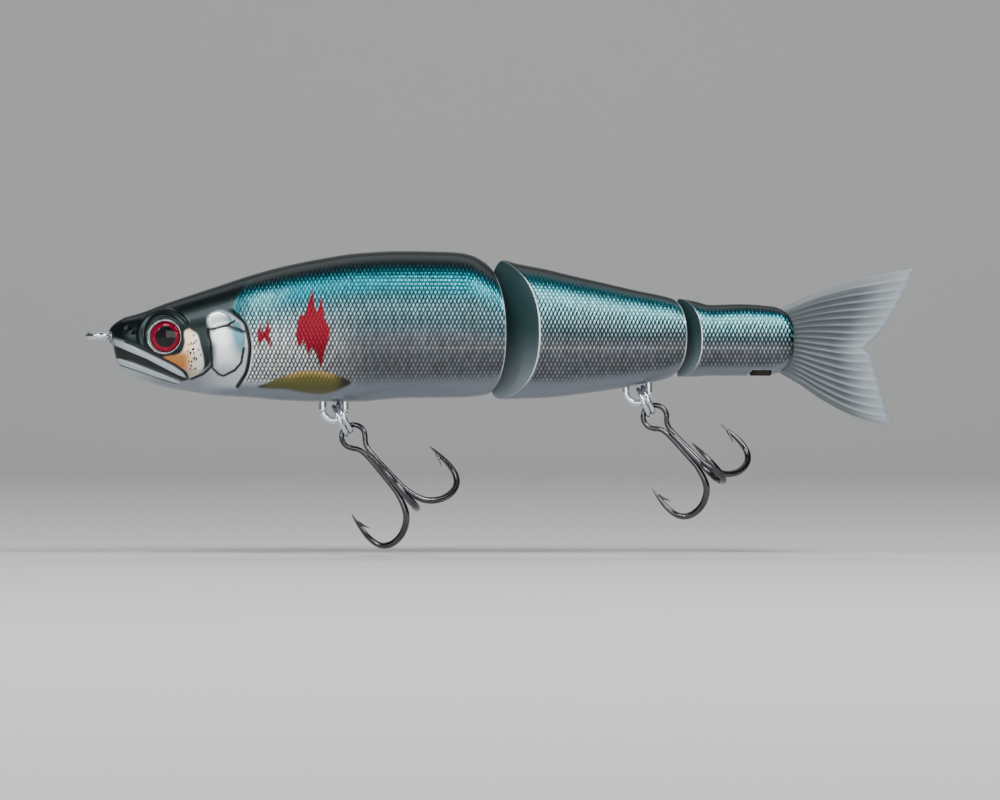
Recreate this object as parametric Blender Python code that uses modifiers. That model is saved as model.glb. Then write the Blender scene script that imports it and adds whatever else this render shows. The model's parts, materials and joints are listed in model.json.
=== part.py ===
"""Three-section jointed swimbait. The origin is the centre of the line tie's eye,
+X runs toward the tail, +Z is the back and Y is sideways. Dimensions are in millimetres
and are scaled to metres when a shape is made."""

import math

import bpy
from mathutils import Matrix, Vector

MM = 0.001

# Moulded shells
SIDES = {"left": 1, "right": -1}
SECTION_POWER = 2.35
SECTION_STEPS = 10
PARTING_GAP = 0.02
WALL = 1.7
FIT = 0.04

# Station tables: x, height of the back, height of the belly, half width
FRONT_STATIONS = [
    (1.7, 0.7, -0.8, 0.9),
    (2.1, 1.7, -1.5, 1.7),
    (2.8, 2.5, -2.4, 2.4),
    (3.4, 3.0, -5.2, 2.9),
    (4.0, 3.4, -6.7, 3.4),
    (5.4, 4.15, -8.5, 4.3),
    (7.2, 4.65, -9.3, 5.1),
    (9.6, 5.4, -9.8, 5.9),
    (13.5, 6.9, -11.1, 6.9),
    (18.5, 8.6, -12.1, 7.8),
    (25.2, 10.8, -13.1, 8.8),
    (31.8, 13.0, -13.5, 9.6),
    (40.0, 15.3, -14.2, 10.4),
    (48.3, 17.0, -14.5, 11.0),
    (57.0, 18.3, -14.5, 11.4),
    (66.0, 18.75, -13.8, 11.5),
    (76.0, 18.6, -13.65, 11.35),
    (79.4, 18.35, -13.6, 11.23),
    (82.2, 17.7, -13.45, 11.08),
    (84.1, 16.7, -13.15, 10.95),
    (85.8, 15.5, -12.8, 10.87),
    (87.5, 14.2, -12.25, 10.78),
    (92.0, 11.6, -11.2, 10.6),
]
MIDDLE_STATIONS = [
    (86.1, 12.4, -11.9, 10.6),
    (86.8, 14.4, -13.2, 10.6),
    (87.6, 15.9, -13.75, 10.6),
    (88.7, 16.7, -13.95, 10.6),
    (92.0, 15.95, -13.9, 10.4),
    (98.0, 14.8, -13.7, 9.9),
    (104.6, 13.2, -13.0, 9.2),
    (111.2, 11.7, -12.1, 8.5),
    (117.8, 10.15, -11.0, 7.8),
    (122.5, 9.2, -10.1, 7.3),
    (125.4, 8.5, -9.2, 7.0),
    (127.5, 7.7, -8.0, 6.8),
    (132.0, 6.3, -6.6, 6.4),
]
TAIL_STATIONS = [
    (126.8, 7.2, -8.0, 6.8),
    (127.6, 8.2, -9.0, 6.7),
    (131.0, 7.7, -9.0, 6.4),
    (134.4, 6.9, -8.8, 6.0),
    (141.0, 7.05, -8.8, 5.3),
    (147.6, 6.6, -8.6, 4.6),
    (149.6, 6.2, -8.1, 4.3),
    (151.4, 5.0, -6.9, 3.9),
    (152.4, 3.4, -5.3, 3.4),
    (152.8, 2.3, -4.2, 2.9),
]

# Hollows: x positions of the core, and the span whose floor is a raised boss
FRONT_CORE = (20.0, 28.0, 37.8, 38.2, 64.8, 65.2, 70.0, 75.5)
FRONT_BOSS = (38.0, 65.0, -5.4)
MIDDLE_CORE = (96.0, 101.8, 102.2, 109.0, 115.5)
MIDDLE_BOSS = (102.0, 125.0, -2.4)
TAIL_CORE = (134.5, 137.0, 140.0)
TAIL_BOSS = (200.0, 201.0, 0.0)

# Wedge joints: apex and slope of the socket and of the nose, and the pin behind the apex
FRONT_JOINT = {
    "socket_x": 84.9,
    "socket_slope": 0.445,
    "nose_x": 86.2,
    "nose_slope": 1.1,
    "nose_round": 1.1,
    "pin_x": 88.3,
    "pin_radius": 0.55,
    "pin_bottom": -9.6,
    "pin_top": 12.0,
    "eye_heights": (-5.6, 8.0),
    "eye_radius": 1.12,
    "eye_wire": 0.42,
    "shank_x": 77.6,
}
REAR_JOINT = {
    "socket_x": 126.0,
    "socket_slope": 0.5,
    "nose_x": 127.2,
    "nose_slope": 0.87,
    "nose_round": 0.8,
    "pin_x": 128.9,
    "pin_radius": 0.48,
    "pin_bottom": -6.4,
    "pin_top": 5.4,
    "eye_heights": (-2.9, 3.1),
    "eye_radius": 1.0,
    "eye_wire": 0.38,
    "shank_x": 120.4,
}
KERF_CLEARANCE = 0.3

# Line tie
TIE_RADIUS = 2.5
TIE_WIRE = 0.88
TIE_LEG = 0.98
TIE_FLARE = 0.12
TIE_SHANK = 9.4
TIE_ANCHOR = 3.4

# Eyes
EYE_X = 14.85
EYE_Z = -0.2
EYE_TILT = math.radians(11)
EYE_SEAT = 5.35
SOCKET_RADIUS = 3.75
DISC_RADIUS = 3.65
DISC_THICKNESS = 0.5
LENS_RADIUS = 3.25
LENS_HEIGHT = 1.35

# Hook hangers: centre of the loop, loop radius, wire radius, top of the legs
FRONT_HANGER = {"x": 51.45, "z": -16.2, "radius": 2.45, "wire": 0.83, "top": -8.0}
REAR_HANGER = {"x": 118.4, "z": -12.24, "radius": 2.52, "wire": 0.76, "top": -5.2}
HANGER_ANCHOR = 3.7

# Split rings: centre, tilt below level and radius, then the coil they share
FRONT_RING = {"x": 53.46, "z": -18.48, "tilt": math.radians(60), "radius": 3.55}
REAR_RING = {"x": 120.28, "z": -14.45, "tilt": math.radians(62.5), "radius": 3.17}
RING_WIRE = 0.53
RING_PITCH = 1.13
RING_TURNS = 1.9

# Treble hooks: shank direction below level, its lean toward -Y, roll about the shank and size
FRONT_TREBLE = {
    "tilt": math.radians(48.5),
    "lean": math.radians(12),
    "roll": math.radians(3),
    "scale": 1.0,
}
REAR_TREBLE = {
    "tilt": math.radians(46.5),
    "lean": math.radians(7),
    "roll": math.radians(8),
    "scale": 0.92,
}
HOOK_WIRE = 0.58
HOOK_EYE = 2.6
HOOK_EYE_SHIFT = 0.8
BUNDLE_RADIUS = 0.72
# One hook's bend: distance along the shank, then distance out from it
HOOK_BEND = [
    (15.0, 0.93, 1.0),
    (17.0, 1.15, 1.05),
    (19.0, 1.62, 1.15),
    (21.0, 2.5, 1.25),
    (22.4, 3.75, 1.28),
    (23.4, 5.5, 1.28),
    (23.9, 7.3, 1.28),
    (23.9, 9.3, 1.28),
    (23.4, 11.1, 1.25),
    (22.3, 12.6, 1.2),
    (20.6, 13.5, 1.15),
    (18.4, 13.85, 1.05),
    (16.2, 13.75, 0.85),
    (14.1, 13.5, 0.5),
    (12.4, 13.2, 0.15),
]
PAIR_START = 5.4
SINGLE_START = 5.9

# Ballast slugs lying across the body: x, z, radius, length
BALLAST = {
    "front_ballast_fore": (42.6, -9.0, 3.1, 9.0),
    "front_ballast_aft": (60.2, -9.0, 3.1, 9.6),
    "middle_ballast": (107.6, -7.2, 2.6, 7.6),
}

# Tail fin: outline (x, z) beyond the socket, root tab and locking lug
FIN_THICKNESS = 2.0
FIN_OUTLINE = [
    (149.9, 6.0),
    (154.5, 8.2),
    (159.0, 10.1),
    (165.5, 12.2),
    (172.0, 13.6),
    (179.2, 14.9),
    (178.9, 13.2),
    (176.8, 8.7),
    (174.2, 4.15),
    (171.6, 0.3),
    (170.0, -1.0),
    (168.4, -2.65),
    (170.0, -4.6),
    (171.6, -10.4),
    (173.0, -15.3),
    (174.5, -19.0),
    (174.2, -19.6),
    (170.4, -19.0),
    (164.9, -17.2),
    (159.0, -14.0),
    (154.5, -10.9),
    (149.9, -8.2),
]
FIN_SOCKET = (142.0, 150.0, -4.4, 3.6)
FIN_TAB = (142.3, -4.2, 3.4)
FIN_WINDOW = (142.9, 148.2, -7.3)
FIN_LUG = (143.6, 147.9, -8.55)
FIN_SLOT_START = 149.7

MATERIALS = {
    "body_paint": ((0.34, 0.42, 0.42), 0.5, 0.3),
    "bright_steel": ((0.62, 0.64, 0.66), 1.0, 0.25),
    "black_nickel": ((0.09, 0.09, 0.1), 1.0, 0.25),
    "eye_print": ((0.55, 0.03, 0.03), 0.0, 0.4),
    "eye_clear": ((0.85, 0.87, 0.88), 0.0, 0.05),
    "soft_fin": ((0.3, 0.31, 0.31), 0.0, 0.45),
    "lead": ((0.22, 0.22, 0.24), 0.8, 0.6),
}


def clear_scene():
    for obj in list(bpy.data.objects):
        bpy.data.objects.remove(obj, do_unlink=True)


def make_collection(name, helper):
    collection = bpy.data.collections.new(name)
    collection.hide_render = helper
    bpy.context.scene.collection.children.link(collection)
    return collection


def make_material(slot, name):
    colour, metallic, roughness = MATERIALS[slot]
    material = bpy.data.materials.new(f"{slot}.{name}")
    material.use_nodes = True
    shader = material.node_tree.nodes["Principled BSDF"]
    shader.inputs["Base Color"].default_value = (*colour, 1.0)
    shader.inputs["Metallic"].default_value = metallic
    shader.inputs["Roughness"].default_value = roughness
    material.diffuse_color = (*colour, 1.0)
    return material


def add_node(name, data, slot, smooth=True):
    """Puts a named piece of the lure in its collection with a material of its own."""
    obj = bpy.data.objects.new(name, data)
    LURE.objects.link(obj)
    data.materials.append(make_material(slot, name))
    if obj.type == "MESH" and smooth:
        data.shade_smooth()
    return obj


def add_cutter(name, data):
    obj = bpy.data.objects.new(name, data)
    CUTTERS.objects.link(obj)
    obj.hide_render = True
    obj.display_type = "WIRE"
    return obj


def mesh_of(name, points, faces):
    mesh = bpy.data.meshes.new(name)
    mesh.from_pydata([Vector(p) * MM for p in points], [], faces)
    mesh.update()
    return mesh


def outward(mesh):
    """Turns every face outward, so that the closed mesh has a positive volume."""
    volume = 0.0
    for polygon in mesh.polygons:
        corners = [mesh.vertices[i].co for i in polygon.vertices]
        for second, third in zip(corners[1:], corners[2:]):
            volume += corners[0].dot(second.cross(third))
    if volume < 0:
        mesh.flip_normals()
    return mesh


def loft(name, rings):
    """A closed solid through rings that all have the same number of points."""
    count = len(rings[0])
    points = [point for ring in rings for point in ring]
    faces = [tuple(range(count)), tuple(range(len(points) - count, len(points)))[::-1]]
    for ring in range(len(rings) - 1):
        start = ring * count
        for i in range(count):
            j = (i + 1) % count
            faces.append((start + j, start + i, start + count + i, start + count + j))
    return outward(mesh_of(name, points, faces))


def prism(name, outline, bottom, top, axis="z"):
    """An outline extruded from bottom to top. Along y the outline is given as (x, z)."""
    rings = []
    for level in (bottom, top):
        if axis == "z":
            rings.append([(a, b, level) for a, b in outline])
        else:
            rings.append([(a, level, b) for a, b in outline])
    return loft(name, rings)


def box_cutter(name, x, y, z):
    outline = [(x[0], y[0]), (x[1], y[0]), (x[1], y[1]), (x[0], y[1])]
    return add_cutter(name, prism(name, outline, z[0], z[1]))


def rod_cutter(name, start, end, radius, sides=16):
    """A round bore from start to end, which differ along one axis."""
    start, end = Vector(start), Vector(end)
    turn = (end - start).to_track_quat("Z", "Y")
    rings = []
    for centre in (start, end):
        ring = []
        for i in range(sides):
            angle = 2 * math.pi * i / sides
            offset = Vector((math.cos(angle), math.sin(angle), 0)) * radius
            ring.append(tuple(centre + turn @ offset))
        rings.append(ring)
    return add_cutter(name, loft(name, rings))


def cut(obj, cutter):
    modifier = obj.modifiers.new(f"cut {cutter.name}", "BOOLEAN")
    modifier.operation = "DIFFERENCE"
    modifier.solver = "EXACT"
    modifier.object = cutter


def profile_at(stations, x):
    """Back, belly and half width at x, straight between stations."""
    for before, after in zip(stations, stations[1:]):
        if before[0] <= x <= after[0]:
            t = (x - before[0]) / (after[0] - before[0])
            return tuple(a + (b - a) * t for a, b in zip(before[1:], after[1:]))
    raise ValueError(f"no station around x = {x}")


def half_section(x, top, bottom, width, inner, side):
    """A D-shaped ring: the flat lies on the parting plane at y = inner."""
    middle, height = (top + bottom) / 2, (top - bottom) / 2
    ring = []
    for i in range(SECTION_STEPS + 1):
        angle = math.pi * (i / SECTION_STEPS - 0.5)
        across = abs(math.cos(angle)) ** (2 / SECTION_POWER)
        along = math.copysign(abs(math.sin(angle)) ** (2 / SECTION_POWER), math.sin(angle))
        y = inner + (width - inner) * across
        ring.append((x, side * y, middle + height * along))
    return ring


def core_of(name, stations, places, boss, side):
    """The hollow of one half shell, with its floor raised where bosses hold wire and ballast."""
    rings = []
    for x in places:
        top, bottom, width = profile_at(stations, x)
        floor = boss[2] if boss[0] < x < boss[1] else bottom + WALL
        rings.append(half_section(x, top - WALL, floor, width - WALL, -0.5, side))
    return add_cutter(name, loft(name, rings))


def shell_half(body, side_name, stations, core_places, boss, slot):
    side = SIDES[side_name]
    name = f"{body}_shell_{side_name}"
    rings = [half_section(x, t, b, w, PARTING_GAP, side) for x, t, b, w in stations]
    shell = add_node(name, loft(name, rings), slot)
    shell.data.shade_smooth()
    cut(shell, core_of(f"{name}_core", stations, core_places, boss, side))
    return shell


def socket_cutter(name, joint):
    """Leaves the V-shaped socket at the back of a section."""
    reach = 20.0
    flank = joint["socket_x"] + joint["socket_slope"] * reach
    outline = [
        (joint["socket_x"], 0.0),
        (flank, -reach),
        (flank + 20.0, -reach),
        (flank + 20.0, reach),
        (flank, reach),
    ]
    return add_cutter(name, prism(name, outline, -30.0, 30.0))


def nose_cutter(name, joint):
    """Leaves the wedge-shaped nose at the front of a section, with its tip rounded."""
    reach = 20.0
    slope, radius, tip = joint["nose_slope"], joint["nose_round"], joint["nose_x"]
    lean = math.atan(1 / slope)
    outline = []
    for i in range(-3, 4):
        angle = lean * i / 3
        outline.append((tip + radius - radius * math.cos(angle), radius * math.sin(angle)))
    x, y = outline[-1]
    flank = x + slope * (reach - y)
    outline = [(flank, -reach)] + outline + [(flank, reach), (tip - 20, reach), (tip - 20, -reach)]
    return add_cutter(name, prism(name, outline, -30.0, 30.0))


def cut_joint(name, joint, socket_shells, nose_shells):
    """Cuts one wedge joint: socket and shank bores ahead, nose, kerfs and pin bore behind."""
    wire = joint["eye_wire"]
    cutters_ahead = [socket_cutter(f"{name}_socket", joint)]
    cutters_behind = [nose_cutter(f"{name}_nose", joint)]
    kerf_reach = joint["eye_radius"] + wire + KERF_CLEARANCE
    kerf_end = joint["pin_x"] + kerf_reach
    for i, height in enumerate(joint["eye_heights"]):
        start = (joint["shank_x"] - FIT, 0, height)
        end = (joint["pin_x"], 0, height)
        cutters_ahead.append(rod_cutter(f"{name}_shank_bore_{i}", start, end, wire + FIT))
        half = wire + KERF_CLEARANCE
        cutters_behind.append(
            box_cutter(
                f"{name}_kerf_{i}",
                (joint["socket_x"] - 3, kerf_end),
                (-kerf_reach, kerf_reach),
                (height - half, height + half),
            )
        )
    bottom = (joint["pin_x"], 0, joint["pin_bottom"] - FIT)
    top = (joint["pin_x"], 0, joint["pin_top"] + FIT)
    cutters_behind.append(rod_cutter(f"{name}_pin_bore", bottom, top, joint["pin_radius"] + FIT))
    for shells, cutters in ((socket_shells, cutters_ahead), (nose_shells, cutters_behind)):
        for shell in shells:
            for cutter in cutters:
                cut(shell, cutter)


def wire_curve(name, points, radius, slot, cyclic=False, radii=None):
    """A round wire along points, as a curve with filled ends."""
    curve = bpy.data.curves.new(name, "CURVE")
    curve.dimensions = "3D"
    curve.bevel_depth = radius * MM
    curve.bevel_resolution = 2
    curve.use_fill_caps = True
    spline = curve.splines.new("POLY")
    spline.points.add(len(points) - 1)
    for i, point in enumerate(points):
        spline.points[i].co = (*(Vector(point) * MM), 1.0)
        spline.points[i].radius = radii[i] if radii else 1.0
    spline.use_cyclic_u = cyclic
    spline.use_smooth = True
    return add_node(name, curve, slot)


def arc(centre, radius, start, end, steps):
    """Points (a, b) on a circle, with the angles in degrees."""
    points = []
    for i in range(steps + 1):
        angle = math.radians(start + (end - start) * i / steps)
        points.append((centre[0] + radius * math.cos(angle), centre[1] + radius * math.sin(angle)))
    return points


def screw_eye(name, joint, height):
    """A wire eye lying level on the joint pin, with its shank forward in the section ahead."""
    radius = joint["eye_radius"]
    x = joint["pin_x"]
    flat = [(joint["shank_x"], 0.0), (x - 2.0 * radius, 0.0), (x - 1.45 * radius, -0.2 * radius)]
    flat += arc((x, 0), radius, -142, 138, 16)
    points = [(a, b, height) for a, b in flat]
    return wire_curve(name, points, joint["eye_wire"], "bright_steel")


def joint_pin(name, joint):
    bottom = Vector((joint["pin_x"], 0, joint["pin_bottom"]))
    top = Vector((joint["pin_x"], 0, joint["pin_top"]))
    return cylinder_node(name, bottom, top, joint["pin_radius"], 16, "bright_steel")


def cylinder_node(name, start, end, radius, sides, slot):
    start, end = Vector(start), Vector(end)
    turn = (end - start).to_track_quat("Z", "Y")
    bpy.ops.mesh.primitive_cylinder_add(
        vertices=sides,
        radius=radius * MM,
        depth=(end - start).length * MM,
        location=(start + end) / 2 * MM,
        rotation=turn.to_euler(),
    )
    made = bpy.context.active_object
    data = made.data
    matrix = Matrix.Translation((start + end) / 2 * MM) @ turn.to_matrix().to_4x4()
    bpy.data.objects.remove(made, do_unlink=True)
    obj = add_node(name, data, slot)
    obj.matrix_world = matrix
    return obj


def line_tie():
    """A level loop ahead of the snout whose two legs run back and turn outward inside it."""
    flat = [(TIE_SHANK, -TIE_ANCHOR), (TIE_SHANK, -TIE_LEG - 0.7), (TIE_SHANK - 0.7, -TIE_LEG)]
    flat += [(3.6, -TIE_LEG), (2.9, -TIE_LEG - TIE_FLARE)]
    flat += arc((0, 0), TIE_RADIUS, -36, -324, 26)
    flat += [(2.9, TIE_LEG + TIE_FLARE), (3.6, TIE_LEG)]
    flat += [(TIE_SHANK - 0.7, TIE_LEG), (TIE_SHANK, TIE_LEG + 0.7), (TIE_SHANK, TIE_ANCHOR)]
    points = [(x, y, 0.0) for x, y in flat]
    return wire_curve("line_tie", points, TIE_WIRE, "bright_steel")


def cut_line_tie(shells):
    reach = TIE_LEG + TIE_FLARE + TIE_WIRE + FIT
    half = TIE_WIRE + FIT
    back = TIE_SHANK + TIE_WIRE + FIT
    legs = box_cutter("line_tie_legs", (-5, back), (-reach, reach), (-half, half))
    wide = TIE_ANCHOR + FIT
    anchor = box_cutter(
        "line_tie_anchor", (back - 2 * half, back), (-wide, wide), (-half, half)
    )
    rim = TIE_RADIUS + TIE_WIRE + FIT
    loop = rod_cutter("line_tie_loop", (0, 0, -half), (0, 0, half), rim, 40)
    for shell in shells:
        for cutter in (legs, anchor, loop):
            cut(shell, cutter)


def hanger(name, spec):
    """An upright U of wire under the belly, whose legs rise and turn outward in the boss."""
    x, z, radius, top = spec["x"], spec["z"], spec["radius"], spec["top"]
    flat = [(x - HANGER_ANCHOR, top), (x - radius - 0.5, top), (x - radius, top - 0.5)]
    flat += arc((x, z), radius, 180, 360, 20)
    flat += [(x + radius, top - 0.5), (x + radius + 0.5, top), (x + HANGER_ANCHOR, top)]
    points = [(a, 0.0, b) for a, b in flat]
    return wire_curve(name, points, spec["wire"], "bright_steel")


def cut_hanger(name, spec, shells):
    half = spec["wire"] + FIT
    wide = HANGER_ANCHOR + FIT
    top = (spec["top"] - half, spec["top"] + half)
    cutters = [
        box_cutter(f"{name}_anchor", (spec["x"] - wide, spec["x"] + wide), (-half, half), top)
    ]
    for i, side in enumerate((-1, 1)):
        leg = spec["x"] + side * spec["radius"]
        cutters.append(
            box_cutter(f"{name}_leg_{i}", (leg - half, leg + half), (-half, half), (spec["z"], top[1]))
        )
    for shell in shells:
        for cutter in cutters:
            cut(shell, cutter)


def ring_frame(spec):
    """Centre of a split ring and the unit direction that its plane falls along."""
    centre = Vector((spec["x"], 0, spec["z"]))
    fall = Vector((math.cos(spec["tilt"]), 0, -math.sin(spec["tilt"])))
    normal = Vector((math.sin(spec["tilt"]), 0, math.cos(spec["tilt"])))
    return centre, fall, normal


def split_ring(name, spec):
    centre, fall, normal = ring_frame(spec)
    across = Vector((0, 1, 0))
    steps = round(24 * RING_TURNS)
    points = []
    for i in range(steps + 1):
        turn = RING_TURNS * (i / steps - 0.5)
        angle = 2 * math.pi * turn
        offset = across * math.cos(angle) + fall * math.sin(angle)
        points.append(tuple(centre + offset * spec["radius"] + normal * RING_PITCH * turn))
    return wire_curve(name, points, RING_WIRE, "bright_steel")


def treble_frame(spec, ring):
    """Middle of the treble's eye, its shank direction and the two directions across it."""
    centre, fall, _ = ring_frame(ring)
    eye = centre + fall * ring["radius"]
    level = Vector((math.cos(spec["tilt"]), 0, -math.sin(spec["tilt"])))
    sideways = Vector((0, 1, 0))
    shank = level * math.cos(spec["lean"]) - sideways * math.sin(spec["lean"])
    side = sideways * math.cos(spec["lean"]) + level * math.sin(spec["lean"])
    up = Vector((math.sin(spec["tilt"]), 0, math.cos(spec["tilt"])))
    return eye, shank, up, side


def hook_points(spec, ring, azimuth, begin):
    """One hook from the shank at distance begin out to its point."""
    eye, shank, up, side = treble_frame(spec, ring)
    angle = math.radians(azimuth) + spec["roll"]
    out = up * math.cos(angle) + side * math.sin(angle)
    scale = spec["scale"]
    points = [eye + shank * begin * scale + out * BUNDLE_RADIUS]
    for along, away, _ in HOOK_BEND:
        away = max(away * scale, BUNDLE_RADIUS)
        points.append(eye + shank * along * scale + out * away)
    return points


def hook_radii():
    """Wire radii along one hook: round at the shank, heavier round the bend, then a point."""
    return [1.0] + [swell for _, _, swell in HOOK_BEND]


def treble_double(name, spec, ring, facing):
    """The wire that makes two hooks and, between them, the eye."""
    eye, shank, up, _ = treble_frame(spec, ring)
    points = hook_points(spec, ring, 210 * facing, PAIR_START)[::-1]
    for along, away in arc((HOOK_EYE_SHIFT, 0), HOOK_EYE, -50, -310, 20):
        points.append(eye + shank * along + up * away)
    points += hook_points(spec, ring, -30 * facing, PAIR_START)
    points = [tuple(p) for p in points]
    radii = hook_radii()
    radii = radii[::-1] + [1.0] * (len(points) - 2 * len(radii)) + radii
    return wire_curve(name, points, HOOK_WIRE, "black_nickel", radii=radii)


def treble_single(name, spec, ring, facing):
    """The third hook, brazed along the pair."""
    points = [tuple(p) for p in hook_points(spec, ring, 90 * facing, SINGLE_START)]
    return wire_curve(name, points, HOOK_WIRE, "black_nickel", radii=hook_radii())


def lathe(name, profile, steps, slot):
    """A round solid from its half section (radius, height), turned about its own Z."""
    points = [(r, 0, h) for r, h in profile]
    edges = [(i, i + 1) for i in range(len(profile) - 1)]
    mesh = bpy.data.meshes.new(name)
    mesh.from_pydata([Vector(p) * MM for p in points], edges, [])
    obj = add_node(name, mesh, slot)
    screw = obj.modifiers.new("turn", "SCREW")
    screw.steps = steps
    screw.render_steps = steps
    screw.use_merge_vertices = True
    screw.merge_threshold = 0.00001
    screw.use_normal_flip = True
    screw.use_smooth_shade = True
    return obj


def eye_matrix(side):
    """Stands local Z on the sloping cheek at the eye, pointing out of the head."""
    out = Vector((-math.sin(EYE_TILT), side * math.cos(EYE_TILT), 0))
    turn = out.to_track_quat("Z", "Y").to_matrix().to_4x4()
    return Matrix.Translation(Vector((EYE_X, side * EYE_SEAT, EYE_Z)) * MM) @ turn


def eye(side_name, shell):
    side = SIDES[side_name]
    matrix = eye_matrix(side)
    start = matrix @ Vector((0, 0, 0)) / MM
    end = matrix @ Vector((0, 0, 8 * MM)) / MM
    cut(shell, rod_cutter(f"eye_socket_{side_name}", start, end, SOCKET_RADIUS, 32))
    seat = 0.02
    disc = [(0, seat), (DISC_RADIUS, seat), (DISC_RADIUS, DISC_THICKNESS), (0, DISC_THICKNESS)]
    base = DISC_THICKNESS + 0.02
    dome = [(0, base), (LENS_RADIUS, base), (LENS_RADIUS, base + 0.3)]
    for i in range(1, 5):
        angle = math.radians(90 * i / 4)
        height = base + 0.3 + (LENS_HEIGHT - 0.3) * math.sin(angle)
        dome.append((max(LENS_RADIUS * math.cos(angle), 0.0), height))
    dome[-1] = (0, base + LENS_HEIGHT)
    printed = lathe(f"eye_disc_{side_name}", disc, 32, "eye_print")
    clear = lathe(f"eye_lens_{side_name}", dome, 32, "eye_clear")
    for obj in (printed, clear):
        obj.matrix_world = matrix


def ballast(name, spec, shells):
    x, z, radius, length = spec
    half = length / 2
    cylinder_node(name, (x, -half, z), (x, half, z), radius, 20, "lead")
    reach = half + 0.1
    bore = rod_cutter(f"{name}_bore", (x, -reach, z), (x, reach, z), radius + 0.1, 20)
    for shell in shells:
        cut(shell, bore)


def tail_fin():
    """A soft forked plate whose root tab and locking lug sit in the tail section."""
    tab_x, tab_bottom, tab_top = FIN_TAB
    lug_start, lug_end, lug_bottom = FIN_LUG
    root = [
        (149.9, -3.9),
        (lug_end, -4.2),
        (lug_end, lug_bottom),
        (lug_start + 0.9, lug_bottom),
        (lug_start, -6.6),
        (lug_start, tab_bottom),
        (tab_x, tab_bottom),
        (tab_x, tab_top),
        (149.9, tab_top),
    ]
    half = FIN_THICKNESS / 2
    outline = FIN_OUTLINE + root
    return add_node("tail_fin", prism("tail_fin", outline, -half, half, "y"), "soft_fin", False)


def cut_tail_fin(shells):
    half = FIN_THICKNESS / 2 + FIT
    start, end, bottom, top = FIN_SOCKET
    window_start, window_end, window_top = FIN_WINDOW
    lug_start, lug_end, _ = FIN_LUG
    slope = 1.0
    window = [
        (window_start - slope, -12.0),
        (window_start + slope, window_top),
        (window_end, window_top),
        (window_end, -12.0),
    ]
    cutters = [
        box_cutter("fin_socket", (start, end), (-half, half), (bottom, top)),
        box_cutter(
            "fin_lug_bore", (lug_start - 0.2, lug_end + 0.1), (-half, half), (-12.0, -2.0)
        ),
        box_cutter("fin_slot", (FIN_SLOT_START, 160.0), (-half, half), (-20.0, 20.0)),
        add_cutter("fin_window", prism("fin_window", window, -8.0, 8.0, "y")),
    ]
    for shell in shells:
        for cutter in cutters:
            cut(shell, cutter)


def pivot(name, place, parent=None):
    """An empty on a joint's axis that carries what turns about it."""
    empty = bpy.data.objects.new(name, None)
    LURE.objects.link(empty)
    empty.empty_display_size = 0.005
    empty.location = Vector(place) * MM
    bpy.context.view_layer.update()
    if parent:
        hang(parent, empty)
    return empty


def hang(parent, *children):
    """Parents objects and leaves them where they are."""
    bpy.context.view_layer.update()
    for child in children:
        matrix = child.matrix_world.copy()
        child.parent = parent
        child.matrix_parent_inverse = parent.matrix_world.inverted()
        child.matrix_world = matrix


def hook_set(name, ring, treble, hanger_spec, carrier, facing):
    """A split ring on its hanger and a treble on the ring, with the pivots they swing on."""
    coil = split_ring(f"{name}_split_ring", ring)
    pair = treble_double(f"{name}_treble_double", treble, ring, facing)
    third = treble_single(f"{name}_treble_single", treble, ring, facing)
    centre, fall, _ = ring_frame(ring)
    crossing = hanger_crossing(ring, hanger_spec)
    ring_pivot = pivot(f"{name}_ring_pivot", crossing, carrier)
    treble_pivot = pivot(f"{name}_treble_pivot", centre + fall * ring["radius"], ring_pivot)
    hang(ring_pivot, coil)
    hang(treble_pivot, pair, third)


def hanger_crossing(ring, hanger_spec):
    """Where the hanger's wire passes through the split ring."""
    centre, fall, _ = ring_frame(ring)
    middle = Vector((hanger_spec["x"], 0, hanger_spec["z"]))
    offset = centre - middle
    half_b = offset.dot(fall)
    rest = half_b * half_b - (offset.dot(offset) - hanger_spec["radius"] ** 2)
    return centre + fall * (-half_b + math.sqrt(rest))


clear_scene()
LURE = make_collection("swimbait", False)
CUTTERS = make_collection("swimbait_cutters", True)

front = [shell_half("front", s, FRONT_STATIONS, FRONT_CORE, FRONT_BOSS, "body_paint") for s in SIDES]
middle = [
    shell_half("middle", s, MIDDLE_STATIONS, MIDDLE_CORE, MIDDLE_BOSS, "body_paint") for s in SIDES
]
tail = [shell_half("tail", s, TAIL_STATIONS, TAIL_CORE, TAIL_BOSS, "body_paint") for s in SIDES]

cut_joint("front_joint", FRONT_JOINT, front, middle)
cut_joint("rear_joint", REAR_JOINT, middle, tail)
cut_line_tie(front)
cut_hanger("front_hanger", FRONT_HANGER, front)
cut_hanger("rear_hanger", REAR_HANGER, middle)
cut_tail_fin(tail)

line_tie()
for side_name, shell in zip(SIDES, front):
    eye(side_name, shell)
hanger("front_hanger", FRONT_HANGER)
screw_eye("front_joint_eye_lower", FRONT_JOINT, FRONT_JOINT["eye_heights"][0])
screw_eye("front_joint_eye_upper", FRONT_JOINT, FRONT_JOINT["eye_heights"][1])
ballast("front_ballast_fore", BALLAST["front_ballast_fore"], front)
ballast("front_ballast_aft", BALLAST["front_ballast_aft"], front)

middle_pieces = [
    joint_pin("front_joint_pin", FRONT_JOINT),
    hanger("rear_hanger", REAR_HANGER),
    screw_eye("rear_joint_eye_lower", REAR_JOINT, REAR_JOINT["eye_heights"][0]),
    screw_eye("rear_joint_eye_upper", REAR_JOINT, REAR_JOINT["eye_heights"][1]),
]
ballast("middle_ballast", BALLAST["middle_ballast"], middle)
middle_pieces.append(bpy.data.objects["middle_ballast"])
tail_pieces = [joint_pin("rear_joint_pin", REAR_JOINT), tail_fin()]

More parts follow.
